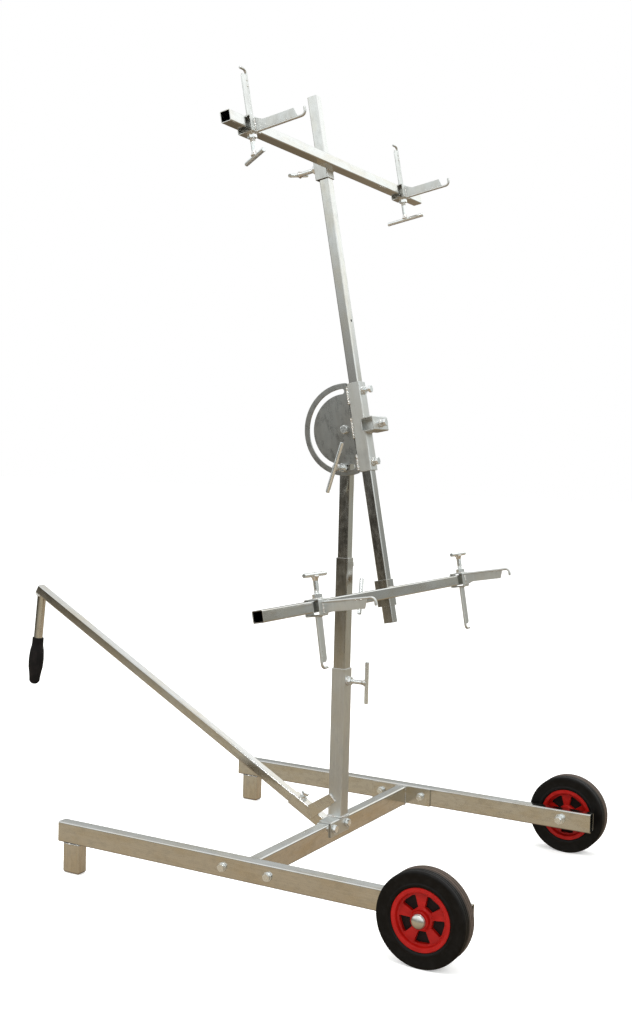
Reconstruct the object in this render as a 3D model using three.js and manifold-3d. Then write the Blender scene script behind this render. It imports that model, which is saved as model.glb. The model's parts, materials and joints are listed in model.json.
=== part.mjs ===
// Drywall lift: a wheeled H-shaped base, a telescopic post, a tilting mast with two
// crossbars, four sliding board brackets and a drawbar with a grip.
// Millimetres, +Z up. +X runs along the rails towards the wheels, +Y along the cross beam.
import * as THREE from 'three';
import { mergeVertices } from 'three/addons/utils/BufferGeometryUtils.js';
import Module from 'manifold-3d';

const wasm = await Module();
wasm.setup();

// ---------------------------------------------------------------- driving dimensions
const GAP = 0.3;                 // clearance between pieces that touch
const SINK = 0.4;                // how far welded-on pieces sink into each other
const WASHER_TOP = 2.2;          // upper face of a washer above its seat
const SIDES = [['near', -1], ['far', 1]];
const OUTWARD = { [-1]: '-y', 1: 'y' };
const INWARD = { [-1]: 'y', 1: '-y' };
const radians = THREE.MathUtils.degToRad;

const RAIL = { width: 30, height: 50, wall: 2.5, corner: 4, from: -540, to: 538, outer: 419, bottom: 72 };
const RAIL_MID = RAIL.outer - RAIL.width / 2;
const FLOOR = -2;                // the rails are set out from the beam; the wheels reach a little lower
const FOOT = { from: -524, length: 50, capHeight: 5 };
const BEAM = { bottom: 67, plateLength: 176, plateHeight: 47, plateThickness: 5, plateBottom: 72 };
const END_BOLT = { x: 60, z: 96 };
const WHEEL = {
  x: 458, z: FLOOR + 100, radius: 100, width: 50, gap: 13, rimRadius: 66, web: 14, windows: 5, phase: 33,
};
const RIM_WINDOW = [[-8, 24], [8, 24], [14, 46], [8, 49.5], [-8, 49.5], [-14, 46]];
const HUB_OVERHANG = 3;          // how far the hub stands out of the tyre's sides

const POST_Y = 16.5;             // the post stands on the cross beam, a little off its middle
const OUTER = { side: 38, wall: 2, bottom: 121.6, top: 497, screwZ: 466 };
const MIDDLE = { side: 33, wall: 2, bottom: 275, top: 775, boltZ: 757 };
const INNER = { side: 28, wall: 2, bottom: 430, top: 1108 };
const SADDLE = { from: -53, to: 43, thickness: 4, drop: 38, boltZ: 103.5, boltY: [-39.5, 29] };

const DRAWBAR = { side: 25, wall: 2, slope: 28.8, footX: -38, footZ: 99, y: POST_Y - 4.5, length: 1091 };
const SOCKET = { side: 30, wall: 2, length: 105, boltAt: 80 };
const GUSSET = { thickness: 4, corners: [[-75, 140], [-15, 178.5], [3, 161], [-65, 106]] };
const STEM = { radius: 12.5, lean: 5.4, length: 240, fromEnd: 12 };
const GRIP = { top: 138, length: 136 };
// Distance below the grip's top, and the radius there.
const GRIP_BANDS = [[0, 16], [22, 16.5], [36, 19.3], [51, 20.7], [66, 21.3], [86, 20.4],
  [101, 17.9], [116, 15.8], [128, 14.5], [134, 10]];

const TILT = { z: 1095, lean: 11.1, plateRadius: 115, slotRadius: 95, slotWidth: 13, slotHalfAngle: 94.2,
  thickness: 4, barTurn: 17 };
const PLATE_FRONT = INNER.side / 2 + GAP + TILT.thickness;   // its front face, from the post's axis
const MAST = { side: 26, wall: 2, offset: 39.5, bottom: -489, top: 841, holeAt: 266, holeRadius: 3.5 };
const SLEEVE = { side: 35, wall: 4, half: 111 };
const SLEEVE_BOLTS = [{ z: 88.7, gap: 9 }, { z: -90, gap: 0.5 }];   // height, and gap under the head
const BAR_SOCKET = { side: 35, wall: 3, half: 40, boltY: 2 };
const SLIDER = { side: 36, wall: 2, length: 65, back: 2.7 };
const BAR = { side: 26, wall: 2 };
const UPPER = { at: 661, from: -474, to: 506, sliderReach: 55, sliderTurn: 78 };
const LOWER = { at: -415, from: -625, to: 435, sliderReach: 52, sliderTurn: 25 };
// Each bracket: crossbar, position along it, how far its sleeve hangs towards its screw, how
// far the outward arm's rod is from the sleeve's middle, and its slant in degrees (`droop`).
// Then its screw's reach, handle length and turn. Those on the lower bar have screws on top.
const BRACKETS = [
  { name: 'upper_near', bar: UPPER, y: -386, hang: 3, rodDrop: 17, droop: 0, screw: [52, 95, 33] },
  { name: 'upper_far', bar: UPPER, y: 387, hang: 3, rodDrop: 17, droop: 0, screw: [57, 108, 0] },
  { name: 'lower_near', bar: LOWER, y: -391, hang: -2.7, rodDrop: 11, droop: 2, screw: [53, 95, 90] },
  { name: 'lower_far', bar: LOWER, y: 400, hang: 0, rodDrop: 15, droop: 1, screw: [51, 90, 90] },
];
const BRACKET = { side: 38, wall: 2.5, length: 36, offset: 2.7, screwShift: 6 };
const ARM = { width: 20, thickness: 3, rodRadius: 3, bend: 10, rootTaper: 20 };
const OUT_ARM = { reach: 107, rodReach: 127, hook: 18 };
const UP_ARM = { reach: 100, rodReach: 112, shift: 6, hook: 24 };

const TEE = {
  radius: 6, reach: 52, barRadius: 5, barLength: 105, longBar: 130, shortBar: 95,
  collar: 9, collarFrom: 12, collarTo: 2,
};
const WELD_NUT = { across: 19, height: 10, bore: 6.4 };
const M10 = { radius: 5, across: 17, head: 6.5, nut: 8, washer: 10.5, bore: 5.4 };
const M12 = { radius: 6, across: 19, head: 7.5, nut: 10, washer: 12, bore: 6.4 };
const AXLE = { radius: 8, across: 24, nut: 12, washer: 15, bore: 8.4, spacer: 13, thread: 18 };
const THREAD_OUT = 2;            // how far a bolt stands out of its nut
const DRILL = { from: 10, to: 40 };   // reach, from a tube's axis, of a hole through one wall
const HUB_CAP = { radius: 15, skirt: 4, length: 11, inside: 6 };
const ROUND = 12;                // sides of a round bar
const THIN_ROUND = 8;            // sides of a thin round bar
const LATHE_STEPS = 30;          // sides of a wheel
const ARC_STEPS = 24;            // segments along the edges of the tilt plate

// ---------------------------------------------------------------- materials
const FINISH = {
  zinc: { color: 0xc4c6c2, roughness: 0.38, metalness: 0.9 },
  fastener: { color: 0xd6d8d6, roughness: 0.28, metalness: 0.95 },
  tyre: { color: 0x1d1a18, roughness: 0.85, metalness: 0.0 },
  rim: { color: 0x8e120c, roughness: 0.42, metalness: 0.0 },
  grip: { color: 0x121110, roughness: 0.7, metalness: 0.0 },
};

// ---------------------------------------------------------------- solids
function toSolid(geometry) {
  const bare = geometry.clone();
  bare.deleteAttribute('normal');
  bare.deleteAttribute('uv');
  const merged = mergeVertices(bare, 1e-4);
  const index = merged.index.array;
  const corners = merged.attributes.position;
  const triangles = [];
  for (let i = 0; i < index.length; i += 3) {
    const [a, b, c] = [index[i], index[i + 1], index[i + 2]];
    if (a !== b && b !== c && c !== a) triangles.push([a, b, c]);
  }
  const outward = signedVolume(corners, triangles) > 0;
  return new wasm.Manifold(new wasm.Mesh({
    numProp: 3,
    vertProperties: new Float32Array(corners.array),
    triVerts: new Uint32Array(triangles.flatMap(([a, b, c]) => (outward ? [a, b, c] : [a, c, b]))),
  }));
}

function signedVolume(corners, triangles) {
  const [p, q, r] = [new THREE.Vector3(), new THREE.Vector3(), new THREE.Vector3()];
  let volume = 0;
  for (const [a, b, c] of triangles) {
    p.fromBufferAttribute(corners, a);
    q.fromBufferAttribute(corners, b);
    r.fromBufferAttribute(corners, c);
    volume += p.dot(q.cross(r)) / 6;
  }
  return volume;
}

function toGeometry(solid) {
  const mesh = solid.getMesh();
  const geometry = new THREE.BufferGeometry();
  geometry.setAttribute('position', new THREE.BufferAttribute(new Float32Array(mesh.vertProperties), 3));
  geometry.setIndex(new THREE.BufferAttribute(new Uint32Array(mesh.triVerts), 1));
  geometry.computeVertexNormals();
  return geometry;
}

// Joins the pieces of `added` and cuts the pieces of `removed` away from them.
function shape(added, removed = []) {
  let solid = toSolid(added[0]);
  for (const piece of added.slice(1)) solid = solid.add(toSolid(piece));
  for (const piece of removed) solid = solid.subtract(toSolid(piece));
  return toGeometry(solid);
}

// Turns a geometry built along +Z so that it runs along the named axis.
function along(axis, geometry) {
  if (axis === 'x') return geometry.rotateY(Math.PI / 2);
  if (axis === '-x') return geometry.rotateY(-Math.PI / 2);
  if (axis === 'y') return geometry.rotateX(-Math.PI / 2);
  if (axis === '-y') return geometry.rotateX(Math.PI / 2);
  if (axis === '-z') return geometry.rotateX(Math.PI);
  return geometry;
}

function box(fromX, toX, fromY, toY, fromZ, toZ) {
  const geometry = new THREE.BoxGeometry(toX - fromX, toY - fromY, toZ - fromZ);
  return geometry.translate((fromX + toX) / 2, (fromY + toY) / 2, (fromZ + toZ) / 2);
}

// A round bar along +Z between two heights.
function rod(radius, from, to, sides = ROUND) {
  const geometry = new THREE.CylinderGeometry(radius, radius, to - from, sides);
  return geometry.rotateX(Math.PI / 2).translate(0, 0, (from + to) / 2);
}

function hexagon(across, from, to) {
  return rod(across / Math.sqrt(3), from, to, 6);
}

function roundedOutline(width, depth, corner, Kind = THREE.Shape) {
  const [x, y] = [width / 2, depth / 2];
  const outline = new Kind();
  outline.moveTo(-x + corner, -y);
  outline.lineTo(x - corner, -y);
  outline.absarc(x - corner, -y + corner, corner, -Math.PI / 2, 0);
  outline.lineTo(x, y - corner);
  outline.absarc(x - corner, y - corner, corner, 0, Math.PI / 2);
  outline.lineTo(-x + corner, y);
  outline.absarc(-x + corner, y - corner, corner, Math.PI / 2, Math.PI);
  outline.lineTo(-x, -y + corner);
  outline.absarc(-x + corner, -y + corner, corner, Math.PI, 1.5 * Math.PI);
  return outline;
}

// A square or rectangular tube along +Z, open at both ends.
function tube(width, depth, wall, from, to, corner = 3) {
  const outline = roundedOutline(width, depth, corner);
  const inside = Math.max(corner - wall, 0.8);
  outline.holes.push(roundedOutline(width - 2 * wall, depth - 2 * wall, inside, THREE.Path));
  const settings = { depth: to - from, bevelEnabled: false, curveSegments: 1 };
  const geometry = new THREE.ExtrudeGeometry(outline, settings);
  return geometry.translate(0, 0, from);
}

// A flat plate with the outline in X and Z, between two Y values.
function plateXZ(outline, fromY, toY) {
  const settings = { depth: toY - fromY, bevelEnabled: false };
  return new THREE.ExtrudeGeometry(outline, settings).rotateX(Math.PI / 2).translate(0, toY, 0);
}

function polygon(points, Kind = THREE.Shape) {
  return new Kind(points.map(([x, y]) => new THREE.Vector2(x, y)));
}

function arcPoints(centreX, centreY, radius, from, to, steps) {
  const points = [];
  for (let i = 0; i <= steps; i += 1) {
    const angle = from + (to - from) * i / steps;
    points.push([centreX + radius * Math.cos(angle), centreY + radius * Math.sin(angle)]);
  }
  return points;
}

// ---------------------------------------------------------------- fasteners
// A hex bolt along +Z: its washer sits on z = 0 and the shank runs down to -length.
function hexBolt(size, length) {
  return shape([
    rod(size.washer, GAP, WASHER_TOP),
    hexagon(size.across, WASHER_TOP - SINK, WASHER_TOP + size.head),
    rod(size.radius, -length, WASHER_TOP + 1),
  ]);
}

// A hex nut with its washer, seated on z = 0 and threaded onto a shank along Z.
function hexNut(size) {
  const top = WASHER_TOP + size.nut;
  const body = [rod(size.washer, GAP, WASHER_TOP), hexagon(size.across, WASHER_TOP - SINK, top)];
  return shape(body, [rod(size.bore, -1, top + 1)]);
}

// A set bolt through a welded nut on z = 0: its head stands `gap` above the nut and its tip
// reaches down to -depth.
function setBolt(depth, gap = 2) {
  const head = M10.nut + gap;
  return shape([hexagon(M10.across, head, head + M10.head), rod(M10.radius, -depth, head + 1)]);
}

// A T-handled clamp screw along +Z: the tip reaches -depth below the clamped face at z = 0.
function teeScrew(depth, barLength = TEE.barLength, reach = TEE.reach) {
  return shape([
    rod(TEE.radius, -depth, reach),
    rod(TEE.collar, reach - TEE.collarFrom, reach - TEE.collarTo),
    along('x', rod(TEE.barRadius, -barLength / 2, barLength / 2, THIN_ROUND)).translate(0, 0, reach),
  ]);
}

const screwNut = (face) => hexagon(WELD_NUT.across, face - SINK, face + WELD_NUT.height);
const boltNut = (face) => hexagon(M10.across, face - SINK, face + M10.nut);

function add(parent, name, geometry, finish, x = 0, y = 0, z = 0) {
  const mesh = new THREE.Mesh(geometry, new THREE.MeshStandardMaterial(FINISH[finish]));
  mesh.name = name;
  mesh.position.set(x, y, z);
  parent.add(mesh);
  return mesh;
}

// ---------------------------------------------------------------- base
// Both sides of the base are alike: `side` is -1 for the near rail and +1 for the far one.
function rail(side) {
  const centre = side * RAIL_MID;
  const body = along('x', tube(RAIL.height, RAIL.width, RAIL.wall, RAIL.from, RAIL.to, RAIL.corner));
  body.translate(0, centre, RAIL.bottom + RAIL.height / 2);
  const holes = [-END_BOLT.x, END_BOLT.x].map((x) => (
    along('y', rod(M10.bore, -RAIL.width, RAIL.width)).translate(x, centre, END_BOLT.z)
  ));
  holes.push(along('y', rod(AXLE.bore, -RAIL.width, RAIL.width)).translate(WHEEL.x, centre, WHEEL.z));
  return shape([body], holes);
}

// A piece of rail stock set upright, its lower end closed by a cap with rounded edges.
function foot() {
  const bevel = 2;
  const top = RAIL.bottom - FLOOR - GAP;
  const wall = tube(FOOT.length, RAIL.width, RAIL.wall, FOOT.capHeight, top, RAIL.corner);
  const outline = roundedOutline(FOOT.length - 2 * bevel, RAIL.width - 2 * bevel, RAIL.corner - bevel);
  const cap = new THREE.ExtrudeGeometry(outline, {
    depth: FOOT.capHeight, bevelThickness: bevel, bevelSize: bevel, bevelSegments: 2, curveSegments: 1,
  });
  return shape([wall, cap.translate(0, 0, bevel)]);
}

// The beam with its two end plates, which bolt to the inner faces of the rails.
function crossBeam() {
  const inner = RAIL.outer - RAIL.width - GAP;
  const end = inner - BEAM.plateThickness + SINK;
  const body = along('y', tube(RAIL.width, RAIL.height, RAIL.wall, -end, end, RAIL.corner));
  body.translate(0, 0, BEAM.bottom + RAIL.height / 2);
  const half = BEAM.plateLength / 2;
  const plateTop = BEAM.plateBottom + BEAM.plateHeight;
  const nearPlate = box(-half, half, -inner, -inner + BEAM.plateThickness, BEAM.plateBottom, plateTop);
  const farPlate = box(-half, half, inner - BEAM.plateThickness, inner, BEAM.plateBottom, plateTop);
  const holes = [];
  for (const x of [-END_BOLT.x, END_BOLT.x]) {
    holes.push(along('y', rod(M10.bore, -RAIL.outer, RAIL.outer)).translate(x, 0, END_BOLT.z));
  }
  for (const y of SADDLE.boltY) {
    holes.push(along('x', rod(M10.bore, -RAIL.width, RAIL.width)).translate(0, y, SADDLE.boltZ));
  }
  return shape([body, nearPlate, farPlate], holes);
}

// The angle under the post: a top flange on the beam and a flap down its +X side.
function saddle() {
  const low = BEAM.bottom + RAIL.height + GAP;
  const high = low + SADDLE.thickness;
  const face = RAIL.width / 2 + GAP;
  return shape([
    box(-RAIL.width / 2, face + SADDLE.thickness, SADDLE.from, SADDLE.to, low, high),
    box(face, face + SADDLE.thickness, SADDLE.from, SADDLE.to, high - SADDLE.drop, high),
  ], SADDLE.boltY.map((y) => along('x', rod(M10.bore, 0, RAIL.width)).translate(0, y, SADDLE.boltZ)));
}

function buildBase(lift) {
  const plateFace = RAIL.outer - RAIL.width - BEAM.plateThickness - GAP;
  const endBoltLength = RAIL.width + BEAM.plateThickness + WASHER_TOP + M10.nut + THREAD_OUT;
  let count = 0;
  for (const [name, side] of SIDES) {
    add(lift, `${name}_rail`, rail(side), 'zinc');
    add(lift, `${name}_foot`, foot(), 'zinc', FOOT.from + FOOT.length / 2, side * RAIL_MID, FLOOR);
    for (const x of [-END_BOLT.x, END_BOLT.x]) {
      count += 1;
      const bolt = along(OUTWARD[side], hexBolt(M10, endBoltLength));
      const nut = along(INWARD[side], hexNut(M10));
      add(lift, `end_plate_bolt_${count}`, bolt, 'fastener', x, side * RAIL.outer, END_BOLT.z);
      add(lift, `end_plate_nut_${count}`, nut, 'fastener', x, side * plateFace, END_BOLT.z);
    }
  }
  add(lift, 'cross_beam', crossBeam(), 'zinc');
  add(lift, 'post_saddle', saddle(), 'zinc');
  const flapFace = RAIL.width / 2 + GAP + SADDLE.thickness;
  const saddleBoltLength = flapFace + RAIL.width / 2 + WASHER_TOP + M10.nut + THREAD_OUT;
  SADDLE.boltY.forEach((y, i) => {
    const bolt = along('x', hexBolt(M10, saddleBoltLength));
    const nut = along('-x', hexNut(M10));
    add(lift, `saddle_bolt_${i + 1}`, bolt, 'fastener', flapFace, y, SADDLE.boltZ);
    add(lift, `saddle_nut_${i + 1}`, nut, 'fastener', -RAIL.width / 2, y, SADDLE.boltZ);
  });
}

// ---------------------------------------------------------------- wheels
// Closes a half outline (heights >= 0) into a ring section by mirroring it.
function mirrored(points) {
  return [...points, ...points.map(([radius, height]) => [radius, -height]).reverse()];
}

function lathe(points, steps = LATHE_STEPS) {
  const profile = points.map(([radius, height]) => new THREE.Vector2(radius, height));
  return new THREE.LatheGeometry([...profile, profile[0]], steps);
}

function tyre() {
  const [outer, half, seat] = [WHEEL.radius, WHEEL.width / 2, WHEEL.rimRadius + GAP];
  return shape([lathe(mirrored([
    [outer, half - 6], [outer - 1, half - 1.5], [outer - 4, half], [outer - 10, half],
    [seat + 9, half - 1.5], [seat + 6, half], [seat + 2, half - 1.5], [seat, half - 5],
  ]))]);
}

// A spoked plastic rim: a deep lip, a recessed disc with trapezoid windows, and a hub.
function rim() {
  const [lip, half, web] = [WHEEL.rimRadius, WHEEL.width / 2, WHEEL.web];
  const body = lathe(mirrored([
    [lip, half - 7], [lip, half - 3], [lip - 2, half - 2], [lip - 9, half - 2], [lip - 12, half - 6],
    [lip - 14, web], [23, web], [20, half - 6], [19, half + HUB_OVERHANG], [AXLE.bore, half + HUB_OVERHANG],
  ]));
  const windows = [];
  for (let i = 0; i < WHEEL.windows; i += 1) {
    const turn = WHEEL.phase + i * 360 / WHEEL.windows;
    windows.push(plateXZ(polygon(RIM_WINDOW), -half, half).rotateY(radians(turn)));
  }
  return shape([body], windows);
}

// The axle runs along +Z from the rail's inner face at z = 0, with a spacer before the wheel.
function axle() {
  const hubInner = RAIL.width + WHEEL.gap - HUB_OVERHANG;
  const hubOuter = RAIL.width + WHEEL.gap + WHEEL.width + HUB_OVERHANG;
  return shape([
    rod(AXLE.radius, -AXLE.thread, hubOuter + HUB_CAP.inside - 1),
    rod(AXLE.spacer, RAIL.width + GAP, hubInner - GAP),
  ]);
}

// A domed cap pressed onto the axle's end, along +Z from its seat at z = 0.
function hubCap() {
  const dome = [];
  const steps = 5;
  for (let i = 0; i <= steps; i += 1) {
    const angle = (i / steps) * Math.PI / 2;
    const rise = HUB_CAP.length - HUB_CAP.skirt;
    dome.push([HUB_CAP.radius * Math.cos(angle), HUB_CAP.skirt + rise * Math.sin(angle)]);
  }
  dome[steps][0] = 0;
  const outside = [[AXLE.bore, 0], [HUB_CAP.radius, 0], ...dome];
  const inside = [[0, HUB_CAP.inside], [AXLE.bore, HUB_CAP.inside]];
  return shape([lathe([...outside, ...inside], ROUND).rotateX(Math.PI / 2)]);
}

function buildWheels(lift) {
  for (const [name, side] of SIDES) {
    const railInner = side * (RAIL.outer - RAIL.width);
    const middle = side * (RAIL.outer + WHEEL.gap + WHEEL.width / 2);
    const capSeat = side * (RAIL.outer + WHEEL.gap + WHEEL.width + HUB_OVERHANG + GAP);
    const [axleShape, capShape] = [along(OUTWARD[side], axle()), along(OUTWARD[side], hubCap())];
    const nut = along(INWARD[side], hexNut(AXLE));
    add(lift, `${name}_tyre`, tyre(), 'tyre', WHEEL.x, middle, WHEEL.z);
    add(lift, `${name}_rim`, rim(), 'rim', WHEEL.x, middle, WHEEL.z);
    add(lift, `${name}_axle`, axleShape, 'fastener', WHEEL.x, railInner, WHEEL.z);
    add(lift, `${name}_axle_nut`, nut, 'fastener', WHEEL.x, railInner, WHEEL.z);
    add(lift, `${name}_hub_cap`, capShape, 'fastener', WHEEL.x, capSeat, WHEEL.z);
  }
}

// ---------------------------------------------------------------- telescopic post
function postTube(size) {
  return tube(size.side, size.side, size.wall, size.bottom, size.top);
}

function buildPost(lift) {
  const outerFace = OUTER.side / 2;
  const outer = shape(
    [postTube(OUTER), along('x', screwNut(outerFace)).translate(0, 0, OUTER.screwZ)],
    [along('x', rod(WELD_NUT.bore, DRILL.from, DRILL.to)).translate(0, 0, OUTER.screwZ)],
  );
  add(lift, 'post_outer_tube', outer, 'zinc', 0, POST_Y);
  const clampScrew = along('x', teeScrew(outerFace - MIDDLE.side / 2 - GAP));
  add(lift, 'post_clamp_screw', clampScrew, 'fastener', outerFace, POST_Y, OUTER.screwZ);

  const middleFace = MIDDLE.side / 2;
  const middle = shape(
    [postTube(MIDDLE), along('y', boltNut(middleFace)).translate(0, 0, MIDDLE.boltZ)],
    [along('y', rod(M10.bore, DRILL.from, DRILL.to)).translate(0, 0, MIDDLE.boltZ)],
  );
  add(lift, 'post_middle_tube', middle, 'zinc', 0, POST_Y);
  const bolt = along('y', setBolt(middleFace - INNER.side / 2 - GAP));
  add(lift, 'post_middle_bolt', bolt, 'fastener', 0, POST_Y + middleFace, MIDDLE.boltZ);

  const screwZ = TILT.z - TILT.slotRadius;
  const inner = shape(
    [postTube(INNER), along('y', screwNut(INNER.side / 2)).translate(0, 0, screwZ)],
    [TILT.z, screwZ].map((z) => along('y', rod(M12.bore, -DRILL.to, DRILL.to)).translate(0, 0, z)),
  );
  add(lift, 'post_inner_tube', inner, 'zinc', 0, POST_Y);
}

// ---------------------------------------------------------------- drawbar
// The group's +X axis runs down the drawbar to its foot beside the post.
function buildDrawbar(lift) {
  const arm = new THREE.Group();
  arm.position.set(DRAWBAR.footX, DRAWBAR.y, DRAWBAR.footZ);
  arm.rotation.y = radians(DRAWBAR.slope);
  arm.updateMatrix();
  lift.add(arm);

  const face = SOCKET.side / 2;
  const socket = shape(
    [along('x', tube(SOCKET.side, SOCKET.side, SOCKET.wall, -SOCKET.length, 0)),
      boltNut(face).translate(-SOCKET.boltAt, 0, 0),
      gusset().applyMatrix4(arm.matrix.clone().invert())],
    [rod(M10.bore, DRILL.from, DRILL.to).translate(-SOCKET.boltAt, 0, 0)],
  );
  add(arm, 'drawbar_socket', socket, 'zinc');
  const bolt = setBolt(face - DRAWBAR.side / 2 - GAP, 5);
  add(arm, 'drawbar_clamp_bolt', bolt, 'fastener', -SOCKET.boltAt, 0, face);

  const stemPlace = new THREE.Matrix4().makeTranslation(STEM.fromEnd - DRAWBAR.length, 0, 0);
  stemPlace.multiply(new THREE.Matrix4().makeRotationY(radians(STEM.lean - DRAWBAR.slope)));
  const bar = shape([
    along('x', tube(DRAWBAR.side, DRAWBAR.side, DRAWBAR.wall, -DRAWBAR.length, -4)),
    rod(STEM.radius, -STEM.length, -DRAWBAR.side / 2).applyMatrix4(stemPlace),
  ]);
  add(arm, 'drawbar', bar, 'zinc');
  add(arm, 'handle_grip', grip().applyMatrix4(stemPlace), 'grip');
}

// The flat plate that ties the drawbar socket to the post, on their -Y faces.
function gusset() {
  const back = POST_Y - OUTER.side / 2 - GAP;
  return plateXZ(polygon(GUSSET.corners), back - GUSSET.thickness, back);
}

// A moulded grip around the stem: swelling in the middle, with a rounded lower end.
function grip() {
  const bore = STEM.radius + GAP;
  const bottom = -GRIP.top - GRIP.length;
  const side = GRIP_BANDS.map(([down, radius]) => [radius, -GRIP.top - down]);
  const inside = [[0, bottom], [0, -STEM.length - 2], [bore, -STEM.length - 2], [bore, -GRIP.top]];
  return shape([lathe([...side, ...inside], ROUND).rotateX(Math.PI / 2)]);
}

// ---------------------------------------------------------------- tilt head
// The head's group has its origin on the pivot, +Z along the mast and +X outwards, to the board.
function tiltPlate() {
  const chord = MAST.offset - SLEEVE.side / 2 - GAP;
  const edge = Math.acos(chord / TILT.plateRadius);
  const outline = polygon(arcPoints(0, 0, TILT.plateRadius, edge, 2 * Math.PI - edge, ARC_STEPS));
  outline.holes.push(slotOutline());
  const plate = plateXZ(outline, -PLATE_FRONT, TILT.thickness - PLATE_FRONT);
  return shape([plate], [along('y', rod(M12.bore, -DRILL.to, DRILL.to))]);
}

// The curved slot that the tilt screw runs in, centred on the -X direction.
function slotOutline() {
  const [radius, half] = [TILT.slotRadius, TILT.slotWidth / 2];
  const start = Math.PI - radians(TILT.slotHalfAngle);
  const end = Math.PI + radians(TILT.slotHalfAngle);
  const roundEnd = (at, from) => {
    const endSteps = 6;
    const [x, y] = [radius * Math.cos(at), radius * Math.sin(at)];
    return arcPoints(x, y, half, from, from + Math.PI, endSteps).slice(1, -1);
  };
  return polygon([
    ...arcPoints(0, 0, radius + half, start, end, ARC_STEPS),
    ...roundEnd(end, end),
    ...arcPoints(0, 0, radius - half, end, start, ARC_STEPS),
    ...roundEnd(start, start + Math.PI),
  ], THREE.Path);
}

// The mast's sleeve with two welded nuts and an open socket for another bar.
function mastSleeve() {
  const face = MAST.offset + SLEEVE.side / 2;
  const socketFace = face + BAR_SOCKET.side - SINK;
  const sleeve = tube(SLEEVE.side, SLEEVE.side, SLEEVE.wall, -SLEEVE.half, SLEEVE.half);
  const { side, wall, half, boltY } = BAR_SOCKET;
  const socket = along('y', tube(side, side, wall, -half, half));
  const reach = 20;
  return shape([
    sleeve.translate(MAST.offset, 0, 0),
    socket.translate(face + side / 2 - SINK, 0, 0),
    ...SLEEVE_BOLTS.map(({ z }) => along('x', boltNut(face)).translate(0, 0, z)),
    along('x', boltNut(socketFace)).translate(0, boltY, 0),
  ], [
    ...SLEEVE_BOLTS.map(({ z }) => along('x', rod(M10.bore, MAST.offset, face + reach)).translate(0, 0, z)),
    along('x', rod(M10.bore, socketFace - side / 2, socketFace + reach)).translate(0, boltY, 0),
  ]);
}

// The clamp screw of the tilt head runs through the slot into the nut behind the post.
function tiltScrew() {
  const front = PLATE_FRONT - INNER.side / 2;
  const depth = INNER.side + WELD_NUT.height;
  return shape([
    teeScrew(depth, TEE.longBar, front + TEE.reach - 5),
    hexagon(WELD_NUT.across, front + GAP, front + WELD_NUT.height),
  ]);
}

function buildTiltHead(lift) {
  const head = new THREE.Group();
  head.position.set(0, POST_Y, TILT.z);
  head.rotation.y = -radians(TILT.lean);
  lift.add(head);
  add(head, 'tilt_plate', tiltPlate(), 'zinc');
  add(head, 'mast_sleeve', mastSleeve(), 'zinc');
  const face = MAST.offset + SLEEVE.side / 2;
  const depth = SLEEVE.side / 2 - MAST.side / 2 - GAP;
  SLEEVE_BOLTS.forEach((bolt, i) => {
    add(head, `mast_set_bolt_${i + 1}`, along('x', setBolt(depth, bolt.gap)), 'fastener', face, 0, bolt.z);
  });
  const socketFace = face + BAR_SOCKET.side - SINK;
  const socketBolt = along('x', setBolt(BAR_SOCKET.wall - 0.5, 0.5));
  add(head, 'bar_socket_bolt', socketBolt, 'fastener', socketFace, BAR_SOCKET.boltY, 0);

  const rear = POST_Y + INNER.side / 2;
  const pivotLength = PLATE_FRONT + INNER.side / 2 + WASHER_TOP + M12.nut + THREAD_OUT;
  const pivot = along('-y', shape([hexagon(M12.across, GAP, M12.head), rod(M12.radius, -pivotLength, 1)]));
  add(lift, 'tilt_pivot_bolt', pivot, 'fastener', 0, POST_Y - PLATE_FRONT, TILT.z);
  add(lift, 'tilt_pivot_nut', along('y', hexNut(M12)), 'fastener', 0, rear, TILT.z);
  const screw = along('-y', tiltScrew().rotateZ(radians(90 - TILT.barTurn)));
  add(lift, 'tilt_clamp_screw', screw, 'fastener', 0, POST_Y - INNER.side / 2, TILT.z - TILT.slotRadius);
  return head;
}

// ---------------------------------------------------------------- mast, sliders and crossbars
function mast() {
  const cap = new THREE.ExtrudeGeometry(roundedOutline(MAST.side, MAST.side, 3), {
    depth: 3, bevelEnabled: false, curveSegments: 1,
  });
  return shape(
    [tube(MAST.side, MAST.side, MAST.wall, MAST.bottom, MAST.top - 1), cap.translate(0, 0, MAST.top - 3)],
    [along('x', rod(MAST.holeRadius, 0, MAST.side)).translate(0, 0, MAST.holeAt)],
  );
}

// A square sleeve around the mast with a welded nut on its inward (-X) face.
function slider() {
  const body = tube(SLIDER.side, SLIDER.side, SLIDER.wall, -SLIDER.length / 2, SLIDER.length / 2);
  const nut = along('-x', screwNut(SLIDER.side / 2));
  const hole = along('-x', rod(WELD_NUT.bore, DRILL.from, DRILL.to));
  return shape([body, nut], [hole]);
}

function buildMast(head) {
  add(head, 'mast', mast(), 'zinc', MAST.offset);
  const sliderX = MAST.offset - SLIDER.back;
  const screwFace = sliderX - SLIDER.side / 2;
  const screwDepth = MAST.offset - MAST.side / 2 - GAP - screwFace;
  const barX = sliderX + SLIDER.side / 2 + GAP + BAR.side / 2;
  for (const [name, bar] of [['upper', UPPER], ['lower', LOWER]]) {
    const screw = teeScrew(screwDepth, TEE.shortBar, bar.sliderReach).rotateZ(radians(bar.sliderTurn));
    const beam = along('y', tube(BAR.side, BAR.side, BAR.wall, bar.from - POST_Y, bar.to - POST_Y));
    add(head, `${name}_slider`, slider(), 'zinc', sliderX, 0, bar.at);
    add(head, `${name}_slider_screw`, along('-x', screw), 'fastener', screwFace, 0, bar.at);
    add(head, `${name}_crossbar`, beam, 'zinc', barX, 0, bar.at);
  }
  for (const place of BRACKETS) buildBracket(head, place, barX);
}

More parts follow.
